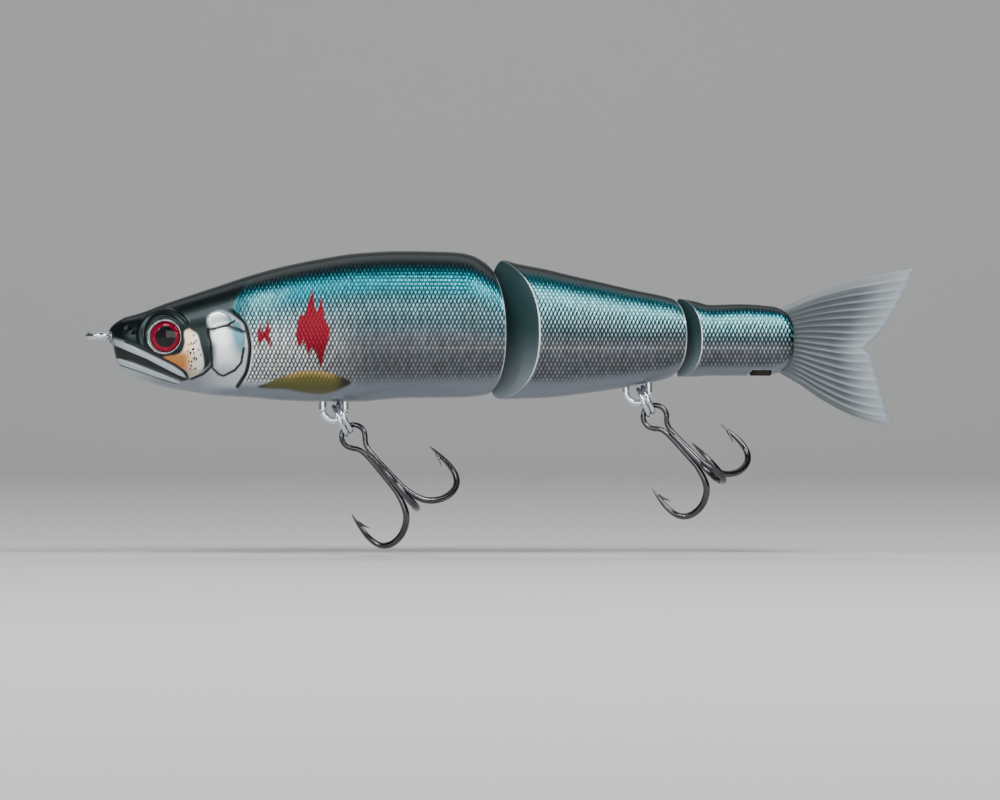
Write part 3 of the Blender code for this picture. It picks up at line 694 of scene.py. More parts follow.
def flank_paint(x, z, height, cells, scaled, spec):
    """Colour and metal content of the sprayed flank: dark back, turquoise, silver, pearl belly,
    with painted light: a highlight band on the upper flank, painted shade on the lower flank's
    silver and between the scales, painted highlights on the scale domes and a glint along the
    lateral line.
    """
    edge, dome, tone_and_shade = cells
    level = height - spec["band_shift"]
    # painted highlight: a bright teal band across the upper flank, strongest on the middle and tail
    # sections and also just behind the head
    painted_highlight = spec["painted_highlight"] + 0.45 * smooth(44, 36, x) * smooth(30, 35, x)
    # painted shade: the silver darker on the lower half of the flank, from behind the head back
    colour = mix(SILVER, SHADED_SILVER, smooth(40, 60, x) * smooth(0.5, 0.0, height))
    colour = mix(colour, TEAL, smooth(-0.3, 0.56, level))
    colour = mix(colour, HIGHLIGHT_TEAL, painted_highlight * bell(level - 0.4, 0.24))
    colour = mix(colour, DEEP_TEAL, smooth(0.6, 0.76, level))
    colour = mix(colour, BACK_GREY, smooth(0.7, 0.86, level))
    colour = mix(colour, BELLY_PEARL, smooth(-0.6, -0.86, height))
    metal = 0.92 - 0.65 * smooth(-0.55, -0.88, height)
    # painted shade in the grooves between the scales, weaker high on the flank and on the lower
    # flank behind the head
    dark = smooth(0.25, 0.82, edge) * scaled * (0.97 - 0.35 * smooth(0.3, 0.7, level))
    dark = dark * (1 - 0.3 * smooth(48, 60, x) * smooth(0.1, -0.3, height))
    # painted highlight on each scale's dome, with the scale's own tone and its painted shade toward
    # the tail side
    painted_light_and_tone = (1 + 0.45 * scaled * dome) * (1 + scaled * (tone_and_shade - 1))
    colour = colour * ((1 - dark) * painted_light_and_tone)[..., None]
    line = bell(z - LATERAL_LINE, 0.2) * (0.1 + 0.14 * smooth(60, 90, x))
    return mix(colour, LATERAL_GLINT, line * dome * scaled), metal


def marks(x, z, colour, metal, dome):
    """Sprayed marks behind the head: two jagged red ones and an olive leaf low on the side, both
    painted lighter on the scale domes and darker between them, the leaf with a painted cream
    highlight along its upper edge.
    """
    for outline in (LARGE_MARK, SMALL_MARK):
        amount = smooth(-0.14, 0.14, inside_depth(x, z, outline))
        # painted light: the red is lighter on the scale domes and darker between them
        colour = mix(colour, MARK_RED * (0.6 + dome)[..., None], amount)
        metal = metal * (1 - 0.1 * amount)
    depth = inside_depth(x, z, rounded(PECTORAL))
    olive = mix(OLIVE, OLIVE_END, np.maximum(smooth(37.5, 35.0, x), smooth(51.0, 54.5, x)))
    # painted highlight: cream on the scale domes along the leaf's upper edge, and the whole leaf
    # lighter on the domes and darker between them
    edge = smooth(1.7, 0.2, depth) * smooth(-10.6, -8.0, z)
    edge = edge * smooth(39.0, 42.0, x) * smooth(53.0, 50.0, x)
    olive = mix(olive, OLIVE_HIGHLIGHT, edge * (0.1 + 0.8 * dome)) * (0.5 + 0.8 * dome)[..., None]
    amount = smooth(-0.35, 0.3, depth)
    return mix(colour, olive, amount), metal * (1 - 0.3 * amount)


def head_ground(x, z, ahead, colour, metal):
    """Skin of the head, dark nape and crown."""
    skin = mix(HEAD_SKIN, JAW_SKIN, smooth(14, 6, x) * smooth(-5.5, -7.0, z))
    skin = mix(skin, GILL_SKIN, smooth(20, 30, x) * 0.4)
    colour = mix(colour, skin, ahead * smooth(9, 5, z))
    colour = mix(colour, NAPE, smooth(34.5, 29.5, x) * smooth(3.0, 6.5, z) * 0.85)
    crown = smooth(-0.45, 0.45, inside_depth(x, z, rounded(HEAD_DARK, 140))) * smooth(36, 30, x)
    metal = metal * (1 - ahead * 0.7)
    return mix(colour, CROWN, crown), metal + (0.85 - metal) * crown


def cheek_and_plates(x, z, cheek_depth, colour, metal):
    """Orange cheek, and silver gill plates with painted light: a white painted highlight at the
    front of the plates that gives way to teal toward the back, painted shade low at the front, and
    greyer toward the bottom.
    """
    cheek = mix(CHEEK_PALE, CHEEK_ORANGE, smooth(-2.6, -4.6, z) * smooth(20.6, 18.2, x))
    cheek = mix(cheek, CHEEK_WHITE, smooth(19.6, 21.6, x))
    cheek = mix(cheek, CHEEK_LOW, smooth(-6.5, -8.5, z))
    colour = mix(colour, cheek, smooth(-0.2, 0.3, cheek_depth))
    # painted highlight: the plates white at the front, going teal toward the back
    teal = smooth(27.4, 30.6, x + 0.25 * (z + 2)) * smooth(-8.5, -1.0, z)
    plate = mix(PLATE_HIGHLIGHT, PLATE_TEAL, teal)
    # painted shade low on the front of the plates, then greyer toward the bottom
    plate = mix(plate, PLATE_SHADE, smooth(26.4, 24.8, x) * smooth(0.5, -2.5, z))
    plate = mix(plate, PLATE_LOW, smooth(-4.0, -8.0, z))
    for outline in (OPERCLE, UPPER_PLATE, SMALL_PLATE):
        amount = smooth(-0.1, 0.2, inside_depth(x, z, rounded(outline)))
        colour = mix(colour, plate, amount)
        metal = metal + (0.55 - metal) * amount
    return colour, metal


def head_ink(x, z, colour):
    """Lips, the dark of the mouth, black lines and nostrils."""
    for outline in (UPPER_LIP, LOWER_LIP):
        colour = mix(colour, LIP, smooth(-0.1, 0.15, inside_depth(x, z, rounded(outline))))
    colour = mix(colour, MOUTH_DARK, smooth(-0.08, 0.1, inside_depth(x, z, MOUTH)))
    for line, _, _, reach, full in GROOVES:
        colour = mix(colour, INK, smooth(reach, full, line_distance(x, z, line)))
    for nostril_x, nostril_z, size in NOSTRILS:
        away = np.hypot(x - nostril_x, z - nostril_z)
        colour = mix(colour, INK, smooth(size + 0.1, size - 0.2, away))
    return colour


def head_paint(x, z, colour, metal):
    """Colour and metal content of the head over the flank's, where specks show, and its gloss."""
    gill_x = np.interp(z, GILL_CURVE[::-1, 1], GILL_CURVE[::-1, 0])
    ahead = smooth(0.35, -0.35, x - gill_x) * (1 - smooth(-10.2, -12.4, z) * smooth(20, 28, x))
    cheek_depth = inside_depth(x, z, rounded(CHEEK))
    colour, metal = head_ground(x, z, ahead, colour, metal)
    colour, metal = cheek_and_plates(x, z, cheek_depth, colour, metal)
    colour = head_ink(x, z, colour)
    specks = smooth(0.0, 0.3, cheek_depth) * smooth(18.6, 19.6, x) * smooth(-8.0, -7.0, z)
    gloss = 0.3 + 0.7 * smooth(0.0, 0.3, inside_depth(x, z, rounded(OPERCLE + UPPER_PLATE[:1])))
    gloss = np.maximum(gloss, smooth(0.0, 0.3, inside_depth(x, z, rounded(UPPER_PLATE))))
    return colour, metal, specks, gloss * ahead


def paint_ends(points, colour, metal, spec, before, after):
    """Colours of the rims and the faces between sections, which are the first rows before the
    outer surface and the last rows after it. The rims carry a painted highlight."""
    z = points[..., 2]
    face = mix(WEDGE_TOP, WEDGE_FOOT, smooth(3, -12, z))
    end = len(points) - after
    bands = []
    if spec["head"]:
        colour[:before] = NOSE_TIP
    else:
        bands.append((slice(before), slice(before - 3, before)))
    if spec["wedge_end"]:
        bands.append((slice(end, None), slice(end, end + 4)))
    else:
        colour[end:] = colour[end - 1]
        metal[end:] = metal[end - 1]
    for rows, rim in bands:
        colour[rows] = face[rows]
        metal[rows] = 0.25
        # painted highlight along the rim's fillet, strongest halfway up
        side = smooth(0.86, 0.6, np.abs(2 * (z[rim] - z.min()) / np.ptp(z) - 1))
        colour[rim] = mix(face[rim], RIM_HIGHLIGHT, (0.25 + 0.75 * side) * spec["rim_highlight_strength"])
        metal[rim] = 0.8


def skin_grid(spec):
    """Points of one half of a section's surface, with its paint, as grids of rows by columns."""
    stations = spec["stations"]
    angle = even_angles()
    start_x, head_rows = end_rows(stations, angle, spec["start"], spec["start_rim"], False)
    end_x, tail_rows = end_rows(stations, angle, spec["end"], spec["end_rim"], True)
    x = spread_rows(spec, start_x, end_x)
    y, z = section(stations, x, angle)
    outer = np.stack([x, y, z], axis=-1)
    height = height_share(stations, x, z)
    cells = scale_cells(x, arc_from_line(outer))
    scaled = smooth(-0.82, -0.66, height) * smooth(0.9, 0.76, height)
    across, up = side_on(x, y, z)
    if spec["head"]:
        scaled = scaled * behind_gill(across, up)
    dome = cells[1] * scaled
    relief = SCALE_RELIEF * dome - LATERAL_DEPTH * bell(z - LATERAL_LINE, 0.16) * scaled
    room = spec["ring_room"] * bell(x - RING_ROOM_X, RING_ROOM_LENGTH)
    relief = relief - room * smooth(-0.75, -0.92, height)
    colour, metal = flank_paint(x, z, height, cells, scaled, spec)
    specks = gloss = np.zeros(x.shape)
    if spec["head"]:
        relief = relief + head_relief(across, up) * smooth(36, 33, x)
        colour, metal = marks(across, up, colour, metal, dome)
        colour, metal, specks, gloss = head_paint(across, up, colour, metal)
    rim_fade = smooth(0.0, 0.5, x - start_x) * smooth(0.0, 0.5, end_x - x)
    outer = outer + grid_normals(outer) * (relief * rim_fade)[..., None]
    points = np.concatenate([head_rows[::-1], outer, tail_rows])
    for edge in (points[:, 0], points[:, -1], points[0], points[-1]):
        edge[:, 1] = PARTING_GAP
    before, after = len(head_rows), len(tail_rows)

    def padded(values):
        return np.pad(values, [(before, after)] + [(0, 0)] * (values.ndim - 1))

    colour, metal = padded(colour), padded(metal)
    paint_ends(points, colour, metal, spec, before, after)
    return points, colour, {"metal": metal, "specks": padded(specks), "gloss": padded(gloss)}


# ---- meshes


def grid_quads(index):
    """Faces of a grid of point numbers."""
    corners = [index[:-1, :-1], index[1:, :-1], index[1:, 1:], index[:-1, 1:]]
    return np.stack(corners, axis=-1).reshape(-1, 4)


def store_paint(mesh, colour):
    paint = mesh.attributes.new("paint", "FLOAT_COLOR", "POINT")
    opaque = np.concatenate([colour.reshape(-1, 3), np.ones((colour.size // 3, 1))], axis=1)
    paint.data.foreach_set("color", opaque.astype(np.float32).ravel())


def write_mesh(work, mesh):
    """Turns the faces outward and writes the work back to the mesh."""
    bmesh.ops.recalc_face_normals(work, faces=work.faces)
    work.to_mesh(mesh)
    work.free()
    return mesh


def skin_mesh(name, grids, side):
    """A closed mesh from a half skin's grid, with its flat on the parting plane."""
    points, colour, finish = grids
    flat = points.reshape(-1, 3) * (1, side, 1)
    quads = grid_quads(np.arange(len(flat)).reshape(points.shape[:2]))
    if side > 0:
        quads = quads[:, ::-1]
    mesh = bpy.data.meshes.new(name)
    mesh.from_pydata((flat * MM).tolist(), [], quads.tolist())
    mesh.update()
    store_paint(mesh, colour)
    for key, values in finish.items():
        attribute = mesh.attributes.new(key, "FLOAT", "POINT")
        attribute.data.foreach_set("value", values.astype(np.float32).ravel())
    work = bmesh.new()
    work.from_mesh(mesh)
    bmesh.ops.remove_doubles(work, verts=work.verts, dist=2e-7)
    loose = [edge for edge in work.edges if len(edge.link_faces) == 1]
    made = bmesh.ops.holes_fill(work, edges=loose, sides=0)
    for face in work.faces:
        face.smooth = True
    for face in made["faces"]:
        face.smooth = False
    return write_mesh(work, mesh)


def add_box(work, low, high):
    """Adds a box between two corners and returns its points."""
    made = bmesh.ops.create_cube(work, size=1)["verts"]
    for vert in made:
        for k in range(3):
            vert.co[k] = (low[k] if vert.co[k] < 0 else high[k]) * MM
    return made


def box_cutter(name, low, high):
    work = bmesh.new()
    add_box(work, low, high)
    return bpy.data.objects.new(name, write_mesh(work, bpy.data.meshes.new(name)))


def rod_cutter(name, start, end, radius):
    """A round cutter between two points."""
    start, end = Vector(start), Vector(end)
    turn = (end - start).to_track_quat("Z", "Y").to_matrix().to_4x4()
    work = bmesh.new()
    bmesh.ops.create_cone(
        work,
        cap_ends=True,
        segments=ROUND_SIDES,
        radius1=radius * MM,
        radius2=radius * MM,
        depth=(end - start).length * MM,
        matrix=Matrix.Translation((start + end) / 2 * MM) @ turn,
    )
    return bpy.data.objects.new(name, write_mesh(work, bpy.data.meshes.new(name)))


def carve(mesh, cutters):
    """Cuts each cutter out of a mesh and returns the cut mesh."""
    scene = bpy.context.scene.collection
    obj = bpy.data.objects.new("carving", mesh)
    scene.objects.link(obj)
    for cutter in cutters:
        scene.objects.link(cutter)
        modifier = obj.modifiers.new(cutter.name, "BOOLEAN")
        modifier.operation = "DIFFERENCE"
        modifier.solver = "MANIFOLD"
        modifier.object = cutter
    bpy.context.view_layer.update()
    graph = bpy.context.evaluated_depsgraph_get()
    result = bpy.data.meshes.new_from_object(obj.evaluated_get(graph), depsgraph=graph)
    result.name = mesh.name
    for thing in [obj, *cutters]:
        bpy.data.objects.remove(thing, do_unlink=True)
    return result


def add_piece(name, data, slot, body, nodes=(), place=None):
    """Links a piece in its slot's material, lets it ride on its body and hides the frame nodes
    that it stands for."""
    data.materials.clear()
    data.materials.append(LOOKS[slot])
    obj = bpy.data.objects.new(name, data)
    bpy.context.scene.collection.objects.link(obj)
    if place is not None:
        obj.matrix_world = place
    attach(obj, body)
    if nodes:
        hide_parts(*nodes)


# ---- what is cut out of the skins


def kerfs(joint, name):
    """Pockets in a wedge nose for the eyes of the section ahead."""
    reach = joint["eye_radius"] + joint["eye_wire"] + KERF_CLEARANCE
    half = joint["eye_wire"] + KERF_CLEARANCE
    start, end = joint["socket_x"] - 3, joint["pin_x"] + reach
    return [
        box_cutter(f"{name}_{i}", (start, -reach, height - half), (end, reach, height + half))
        for i, height in enumerate(joint["eye_heights"])
    ]


def hanger_bores(end):
    """Two square bores in the belly for a hanger's legs."""
    spec = HANGERS[end]
    half = spec["wire"] + 0.05
    bores = []
    for i, side in enumerate((-1, 1)):
        leg = spec["x"] + side * spec["radius"]
        low, high = (leg - half, -half, spec["z"]), (leg + half, half, spec["top"])
        bores.append(box_cutter(f"{end}_hanger_bore_{i}", low, high))
    return bores


def eye_matrix(side):
    """Stands local Z on the sloping cheek at the eye, pointing out of the head."""
    out = Vector((-math.sin(EYE_TILT), side * math.cos(EYE_TILT), 0))
    turn = out.to_track_quat("Z", "Y").to_matrix().to_4x4()
    return Matrix.Translation(Vector((EYE_X, side * EYE_SEAT, EYE_Z)) * MM) @ turn


def eye_socket(side):
    start, end = [eye_matrix(side) @ Vector((0, 0, z * MM)) / MM for z in (0, SOCKET_DEPTH)]
    return rod_cutter("eye_socket", start, end, SOCKET_RADIUS)


def front_cutters():
    """Room for the line tie's loop and legs and for the front hanger."""
    half = TIE_WIRE + 0.04
    reach = TIE_LEG + TIE_FLARE + half
    return [
        rod_cutter("tie_loop", (0, 0, -half), (0, 0, half), TIE_RADIUS + half),
        box_cutter("tie_legs", (-5, -reach, -half), (TIE_SHANK + 1, reach, half)),
        *hanger_bores("front"),
    ]


def middle_cutters():
    return kerfs(FRONT_JOINT, "front_kerf") + hanger_bores("rear")


def slant_foot(verts, slant):
    """Moves the lower front edge of a box by slant."""
    low = min(vert.co.z for vert in verts)
    front = min(vert.co.x for vert in verts)
    for vert in verts:
        if vert.co.z == low and vert.co.x == front:
            vert.co.x += slant * MM


def tail_cutters():
    window = box_cutter("fin_window", *FIN_WINDOW)
    slant_foot(window.data.vertices, -WINDOW_SLANT)
    return kerfs(REAR_JOINT, "rear_kerf") + [box_cutter("fin_slot", *FIN_SLOT), window]


# Each section's outline, end faces and rims, and its paint: how far its colour bands move up, how
# deep the room for the ring is, and how strongly a highlight is painted on its upper flank and along
# its rims.
BODY_SPECS = {
    "front": {
        "stations": FRONT_STATIONS,
        "start": flat_face(1.7),
        "start_rim": NOSE_RIM,
        "end": socket_face(FRONT_JOINT),
        "end_rim": SOCKET_RIM,
        "head": True,
        "wedge_end": True,
        "band_shift": 0.0,
        "ring_room": 0.0,
        "painted_highlight": 0.0,
        "rim_highlight_strength": 0.6,
        "cutters": front_cutters,
    },
    "middle": {
        "stations": MIDDLE_STATIONS,
        "start": nose_face(FRONT_JOINT),
        "start_rim": NOSE_RIM,
        "end": socket_face(REAR_JOINT),
        "end_rim": SOCKET_RIM,
        "head": False,
        "wedge_end": True,
        "band_shift": 0.07,
        "ring_room": RING_ROOM_DEPTH,
        "painted_highlight": 0.55,
        "rim_highlight_strength": 1.0,
        "cutters": middle_cutters,
    },
    "tail": {
        "stations": TAIL_STATIONS,
        "start": nose_face(REAR_JOINT),
        "start_rim": NOSE_RIM * 0.7,
        "end": flat_face(152.8),
        "end_rim": END_RIM,
        "head": False,
        "wedge_end": False,
        "band_shift": 0.04,
        "ring_room": 0.0,
        "painted_highlight": 0.65,
        "rim_highlight_strength": 1.0,
        "cutters": tail_cutters,
    },
}


# ---- materials


class Look:
    """A material and short ways to add nodes to it. What is fed to a socket is either a plain
    value or another node's output."""

    def __init__(self, name):
        self.material = bpy.data.materials.new(name)
        self.material.use_nodes = True
        self.tree = self.material.node_tree

    def feed(self, node, values):
        for key, value in values.items():
            if isinstance(value, bpy.types.NodeSocket):
                self.tree.links.new(value, node.inputs[key])
            else:
                node.inputs[key].default_value = value

    def surface(self, values):
        self.feed(self.tree.nodes["Principled BSDF"], values)

    def node(self, kind, inputs, output, **settings):
        """Adds a node and returns one of its outputs."""
        node = self.tree.nodes.new(kind)
        for key, value in settings.items():
            setattr(node, key, value)
        self.feed(node, inputs)
        return node.outputs[output]

    def attribute(self, name, output="Fac"):
        return self.node("ShaderNodeAttribute", {}, output, attribute_name=name)

    def place(self):
        return self.node("ShaderNodeTexCoord", {}, "Object")

    def noise(self, scale, detail=3.0):
        inputs = {"Vector": self.place(), "Scale": scale, "Detail": detail}
        return self.node("ShaderNodeTexNoise", inputs, "Fac")

    def math(self, operation, *values):
        return self.node("ShaderNodeMath", dict(enumerate(values)), 0, operation=operation)

    def varied(self, scale, spread, least, detail=3.0):
        """A number that wanders upward from least."""
        return self.math("MULTIPLY_ADD", self.noise(scale, detail), spread, least)

    def blend(self, amount, first, second):
        return self.node("ShaderNodeMix", {0: amount, 6: first, 7: second}, 2, data_type="RGBA")

    def tone(self, colour, amount):
        """A colour made brighter or darker."""
        inputs = {0: colour, "Scale": amount}
        return self.node("ShaderNodeVectorMath", inputs, "Vector", operation="SCALE")

    def grain(self, scale, distance, strength):
        """Fine unevenness in the shading."""
        inputs = {"Height": self.noise(scale), "Distance": distance, "Strength": strength}
        self.surface({"Normal": self.node("ShaderNodeBump", inputs, "Normal")})


def body_paint():
    """Sprayed metallic paint under a hard clear coat, with fine flake and small specks."""
    look = Look("body_paint")
    painted = look.attribute("paint", "Alpha")
    base = look.blend(painted, rgba(0.2, 0.22, 0.22), look.attribute("paint", "Color"))
    base = look.tone(base, look.varied(9000.0, 0.5, 0.76, 2.0))
    squeeze = {"Vector": look.place(), "Scale": (1.4, 0.0, 0.75)}
    squeezed = look.node("ShaderNodeMapping", squeeze, "Vector")
    cells = look.node("ShaderNodeTexVoronoi", {"Vector": squeezed, "Scale": 1500.0}, "Distance")
    spot = look.math("MULTIPLY", look.math("LESS_THAN", cells, 0.34), look.attribute("specks"))
    polish = look.math("MULTIPLY", look.attribute("gloss"), 0.1)
    look.surface({
        "Base Color": look.blend(spot, base, rgba(0.05, 0.04, 0.04)),
        "Metallic": look.attribute("metal"),
        "Roughness": look.math("SUBTRACT", look.varied(700.0, 0.12, 0.27), polish),
        "Coat Weight": 0.1,
        "Coat Roughness": 0.06,
    })
    look.grain(2600.0, 0.00002, 0.5)
    return look.material


def wire_metal(name, stain, colours, roughness, grain):
    """Wire that is stained from one colour to another, uneven in gloss and finely grained."""
    look = Look(name)
    look.surface({
        "Base Color": look.blend(look.noise(stain), *colours),
        "Metallic": 1.0,
        "Roughness": look.varied(*roughness),
    })
    look.grain(*grain)
    return look.material


def bright_steel():
    """Bright drawn wire with faint drawing marks and a bluish cast."""
    colours = (rgba(0.78, 0.82, 0.85), rgba(0.9, 0.91, 0.92))
    return wire_metal("bright_steel", 500.0, colours, (1500.0, 0.16, 0.1), (4000.0, 0.00001, 0.4))


def black_nickel():
    """Black-nickel plating on hook wire, worn a little brighter in places."""
    colours = (rgba(0.2, 0.205, 0.215), rgba(0.42, 0.42, 0.43))
    return wire_metal("black_nickel", 350.0, colours, (1800.0, 0.15, 0.1), (5000.0, 0.00001, 0.3))


# Linear colours of the printed eye, from its middle to its edge
EYE_STOPS = [
    (0.0, (0.01, 0.01, 0.012)),
    (0.6, (0.012, 0.01, 0.012)),
    (0.64, (0.42, 0.006, 0.04)),
    (0.84, (0.28, 0.004, 0.03)),
    (0.88, (0.03, 0.004, 0.008)),
    (0.94, (0.02, 0.02, 0.02)),
    (0.97, (0.5, 0.51, 0.51)),
    (1.0, (0.6, 0.6, 0.6)),
]


def eye_print():
    """A printed foil eye: silver rim, dark ring, red iris with fine rays and a black pupil."""
    look = Look("eye_print")
    inputs = {0: look.place(), 1: (1.0, 1.0, 0.0)}
    flat = look.node("ShaderNodeVectorMath", inputs, "Vector", operation="MULTIPLY")
    length = look.node("ShaderNodeVectorMath", {0: flat}, "Value", operation="LENGTH")
    radius = look.math("MULTIPLY", length, 1 / (PRINT_RADIUS * MM))
    ramp = look.node("ShaderNodeValToRGB", {"Fac": radius}, "Color")
    elements = ramp.node.color_ramp.elements
    while len(elements) < len(EYE_STOPS):
        elements.new(0.5)
    for element, (position, colour) in zip(elements, EYE_STOPS):
        element.position = position
        element.color = (*colour, 1.0)
    look.surface({
        "Base Color": look.tone(ramp, look.varied(2500.0, 0.7, 0.65, 4.0)),
        "Metallic": look.math("GREATER_THAN", radius, 0.95),
        "Roughness": 0.25,
        "Specular IOR Level": 0.05,
    })
    return look.material


def eye_clear():
    """Clear domed resin."""
    look = Look("eye_clear")
    look.surface({
        "Base Color": (0.97, 0.98, 0.98, 1.0),
        "Transmission Weight": 1.0,
        "IOR": 1.3,
        "Specular IOR Level": 0.15,
        "Roughness": look.math("MULTIPLY", look.noise(900.0), 0.03),
    })
    return look.material


def soft_fin():
    """Soft translucent plastic, smoky at the root and paler toward the trailing edge."""
    look = Look("soft_fin")
    cloud = look.varied(260.0, 0.3, 0.85, 4.0)
    look.surface({
        "Base Color": look.tone(look.attribute("paint", "Color"), cloud),
        "Roughness": 0.36,
        "Transmission Weight": 0.2,
        "IOR": 1.42,
    })
    look.grain(3000.0, 0.00003, 0.5)
    return look.material


def lead():
    """Dull cast lead."""
    look = Look("lead")
    look.surface({
        "Base Color": look.blend(look.noise(400.0), rgba(0.36, 0.37, 0.4), rgba(0.5, 0.51, 0.54)),
        "Metallic": 0.8,
        "Roughness": 0.6,
    })
    look.grain(1200.0, 0.00005, 0.6)
    return look.material


def floor_grey():
    look = Look("floor")
    look.surface({"Base Color": (0.8, 0.8, 0.8, 1.0), "Roughness": 0.8})
    return look.material


# Each slot's material
LOOKS = {
    "body_paint": body_paint(),
    "bright_steel": bright_steel(),
    "black_nickel": black_nickel(),
    "eye_print": eye_print(),
    "eye_clear": eye_clear(),
    "soft_fin": soft_fin(),
    "lead": lead(),
}
KEPT_SLOTS = ("bright_steel", "lead")


# ---- wires


def arc(centre, radius, start, end, steps):
    """Points (a, b) on a circle, with the angles in degrees."""
    points = []
    for i in range(steps + 1):
        angle = math.radians(start + (end - start) * i / steps)
        points.append((centre[0] + radius * math.cos(angle), centre[1] + radius * math.sin(angle)))
    return points


def wire_data(name, splines, radius):
    """One curve of round wires. Each spline is (points, radius factors or None)."""
    curve = bpy.data.curves.new(name, "CURVE")
    curve.dimensions = "3D"
    curve.bevel_depth = radius * MM
    curve.bevel_resolution = 5
    curve.use_fill_caps = True
    for points, radii in splines:
        spline = curve.splines.new("POLY")
        spline.points.add(len(points) - 1)
        for i, point in enumerate(points):
            spline.points[i].co = (*(Vector(point) * MM), 1.0)
            spline.points[i].radius = 1.0 if radii is None else float(radii[i])
        spline.use_smooth = True
    return curve


def line_tie_points():
    """A loop lying flat ahead of the nose, with both legs going back into it."""
    leg = [(TIE_SHANK, TIE_LEG), (6.0, TIE_LEG), (3.6, TIE_LEG), (2.9, TIE_LEG + TIE_FLARE)]
    flat = [(x, -y) for x, y in leg]
    flat += arc((0, 0), TIE_RADIUS, -36, -324, 26)
    flat += leg[::-1]
    return resample([(x, y, 0.0) for x, y in flat], TIE_STEPS)


def hanger_points(spec):
    """A staple with its loop under the belly and both legs going up into the body."""
    x, z, radius, top = spec["x"], spec["z"], spec["radius"], spec["top"]
    flat = [(x - radius, top), (x - radius, (top + z) / 2)]
    flat += arc((x, z), radius, 180, 360, 24)
    flat += [(x + radius, (top + z) / 2), (x + radius, top)]
    return resample([(a, 0.0, b) for a, b in flat], HANGER_STEPS)


def slope_axes(degrees):
    """The direction that falls toward the tail at an angle, and the one square to it upward."""
    angle = math.radians(degrees)
    fall = Vector((math.cos(angle), 0, -math.sin(angle)))
    return fall, Vector((math.sin(angle), 0, math.cos(angle)))


def split_ring_points(spec):
    """Almost two turns of wire, climbing from one face of the ring to the other."""
    centre = Vector((spec["x"], 0, spec["z"]))
    fall, normal = slope_axes(spec["tilt"])
    steps = round(RING_STEPS * RING_TURNS)
    points = []
    for i in range(steps + 1):
        turn = RING_TURNS * (i / steps - 0.5)
        angle = 2 * math.pi * turn
        offset = Vector((0, 1, 0)) * math.cos(angle) + fall * math.sin(angle)
        points.append(tuple(centre + offset * spec["radius"] + normal * RING_PITCH * turn))
    return points


def treble_frame(spec, ring):
    """Middle of the treble's eye at the ring's lowest point, its shank direction and the two
    directions across it."""
    eye = Vector((ring["x"], 0, ring["z"])) + slope_axes(ring["tilt"])[0] * ring["radius"]
    level, up = slope_axes(spec["tilt"])
    lean = math.radians(spec["lean"])
    sideways = Vector((0, 1, 0))
    shank = level * math.cos(lean) - sideways * math.sin(lean)
    side = sideways * math.cos(lean) + level * math.sin(lean)
    return eye, shank, up, side


def hook_frame(spec, ring, azimuth):
    """Middle of the eye, shank direction and the direction that one hook points out in."""
    eye, shank, up, side = treble_frame(spec, ring)
    angle = math.radians(azimuth) + math.radians(spec["roll"])
    return eye, shank, up * math.cos(angle) + side * math.sin(angle)


def hook_points(spec, ring, azimuth, begin):
    """One hook from the shank at distance begin out to its point, each point with its swell."""
    eye, shank, out = hook_frame(spec, ring, azimuth)
    scale = spec["scale"]
    points = [(*(eye + shank * begin * scale + out * BUNDLE_RADIUS), 1.0)]
    for along, away, swell in HOOK_BEND:
        away = max(away * scale, BUNDLE_RADIUS)
        points.append((*(eye + shank * along * scale + out * away), swell))
    return points


def barb(spec, ring, azimuth):
    """A sliver that stands off the inner side of the point."""
    eye, shank, out = hook_frame(spec, ring, azimuth)
    start, end = [
        eye + (shank * along + out * away) * spec["scale"] for along, away in (BARB_START, BARB_END)
    ]
    middle = (start + end) / 2 + out * 0.12
    points = resample([tuple(start), tuple(middle), tuple(end)], BARB_STEPS)
    return points, np.interp(np.linspace(0, 1, BARB_STEPS), [0, 0.35, 1], [0.55, 0.5, 0.12])


def hook_spline(rows, count):
    """Even wire points and radii through rows of (x, y, z, swell)."""
    even = resample(rows, count)
    return even[:, :3], np.clip(even[:, 3], 0.08, None)


def treble_pair(spec, ring):
    """Two hooks and the eye between them, bent from one wire."""
    eye, shank, up, _ = treble_frame(spec, ring)
    first, second = PAIR_AZIMUTHS
    rows = hook_points(spec, ring, first, PAIR_START)[::-1]
    for along, away in arc((HOOK_EYE_SHIFT, 0), HOOK_EYE, -50, -310, 20):
        rows.append((*(eye + shank * along + up * away), 1.0))
    rows += hook_points(spec, ring, second, PAIR_START)
    return [hook_spline(rows, PAIR_STEPS), barb(spec, ring, first), barb(spec, ring, second)]


def treble_third(spec, ring):
    """The hook brazed on to the other two, its shank tapered at the start."""
    rows = hook_points(spec, ring, THIRD_AZIMUTH, THIRD_START)
    points, radii = hook_spline(rows, THIRD_STEPS)
    radii[:10] *= np.linspace(0.35, 1, 10)
    return [(points, radii), barb(spec, ring, THIRD_AZIMUTH)]


# ---- eyes and fin


def lathe_mesh(name, profile, steps):
    """A round solid from its half section (radius, height), turned about Z."""
    rings = []
    points = []
    for radius, height in profile:
        if radius == 0:
            rings.append([len(points)] * steps)
            points.append((0, 0, height))
            continue
        rings.append(list(range(len(points), len(points) + steps)))
        for i in range(steps):
            angle = 2 * math.pi * i / steps
            points.append((radius * math.cos(angle), radius * math.sin(angle), height))
    faces = []
    for low, high in zip(rings, rings[1:]):
        for i in range(steps):
            j = (i + 1) % steps
            face = [low[i], low[j], high[j], high[i]]
            faces.append([v for k, v in enumerate(face) if v not in face[:k]])
    mesh = bpy.data.meshes.new(name)
    mesh.from_pydata([Vector(p) * MM for p in points], [], faces)
    mesh.update()
    mesh.shade_smooth()
    return mesh


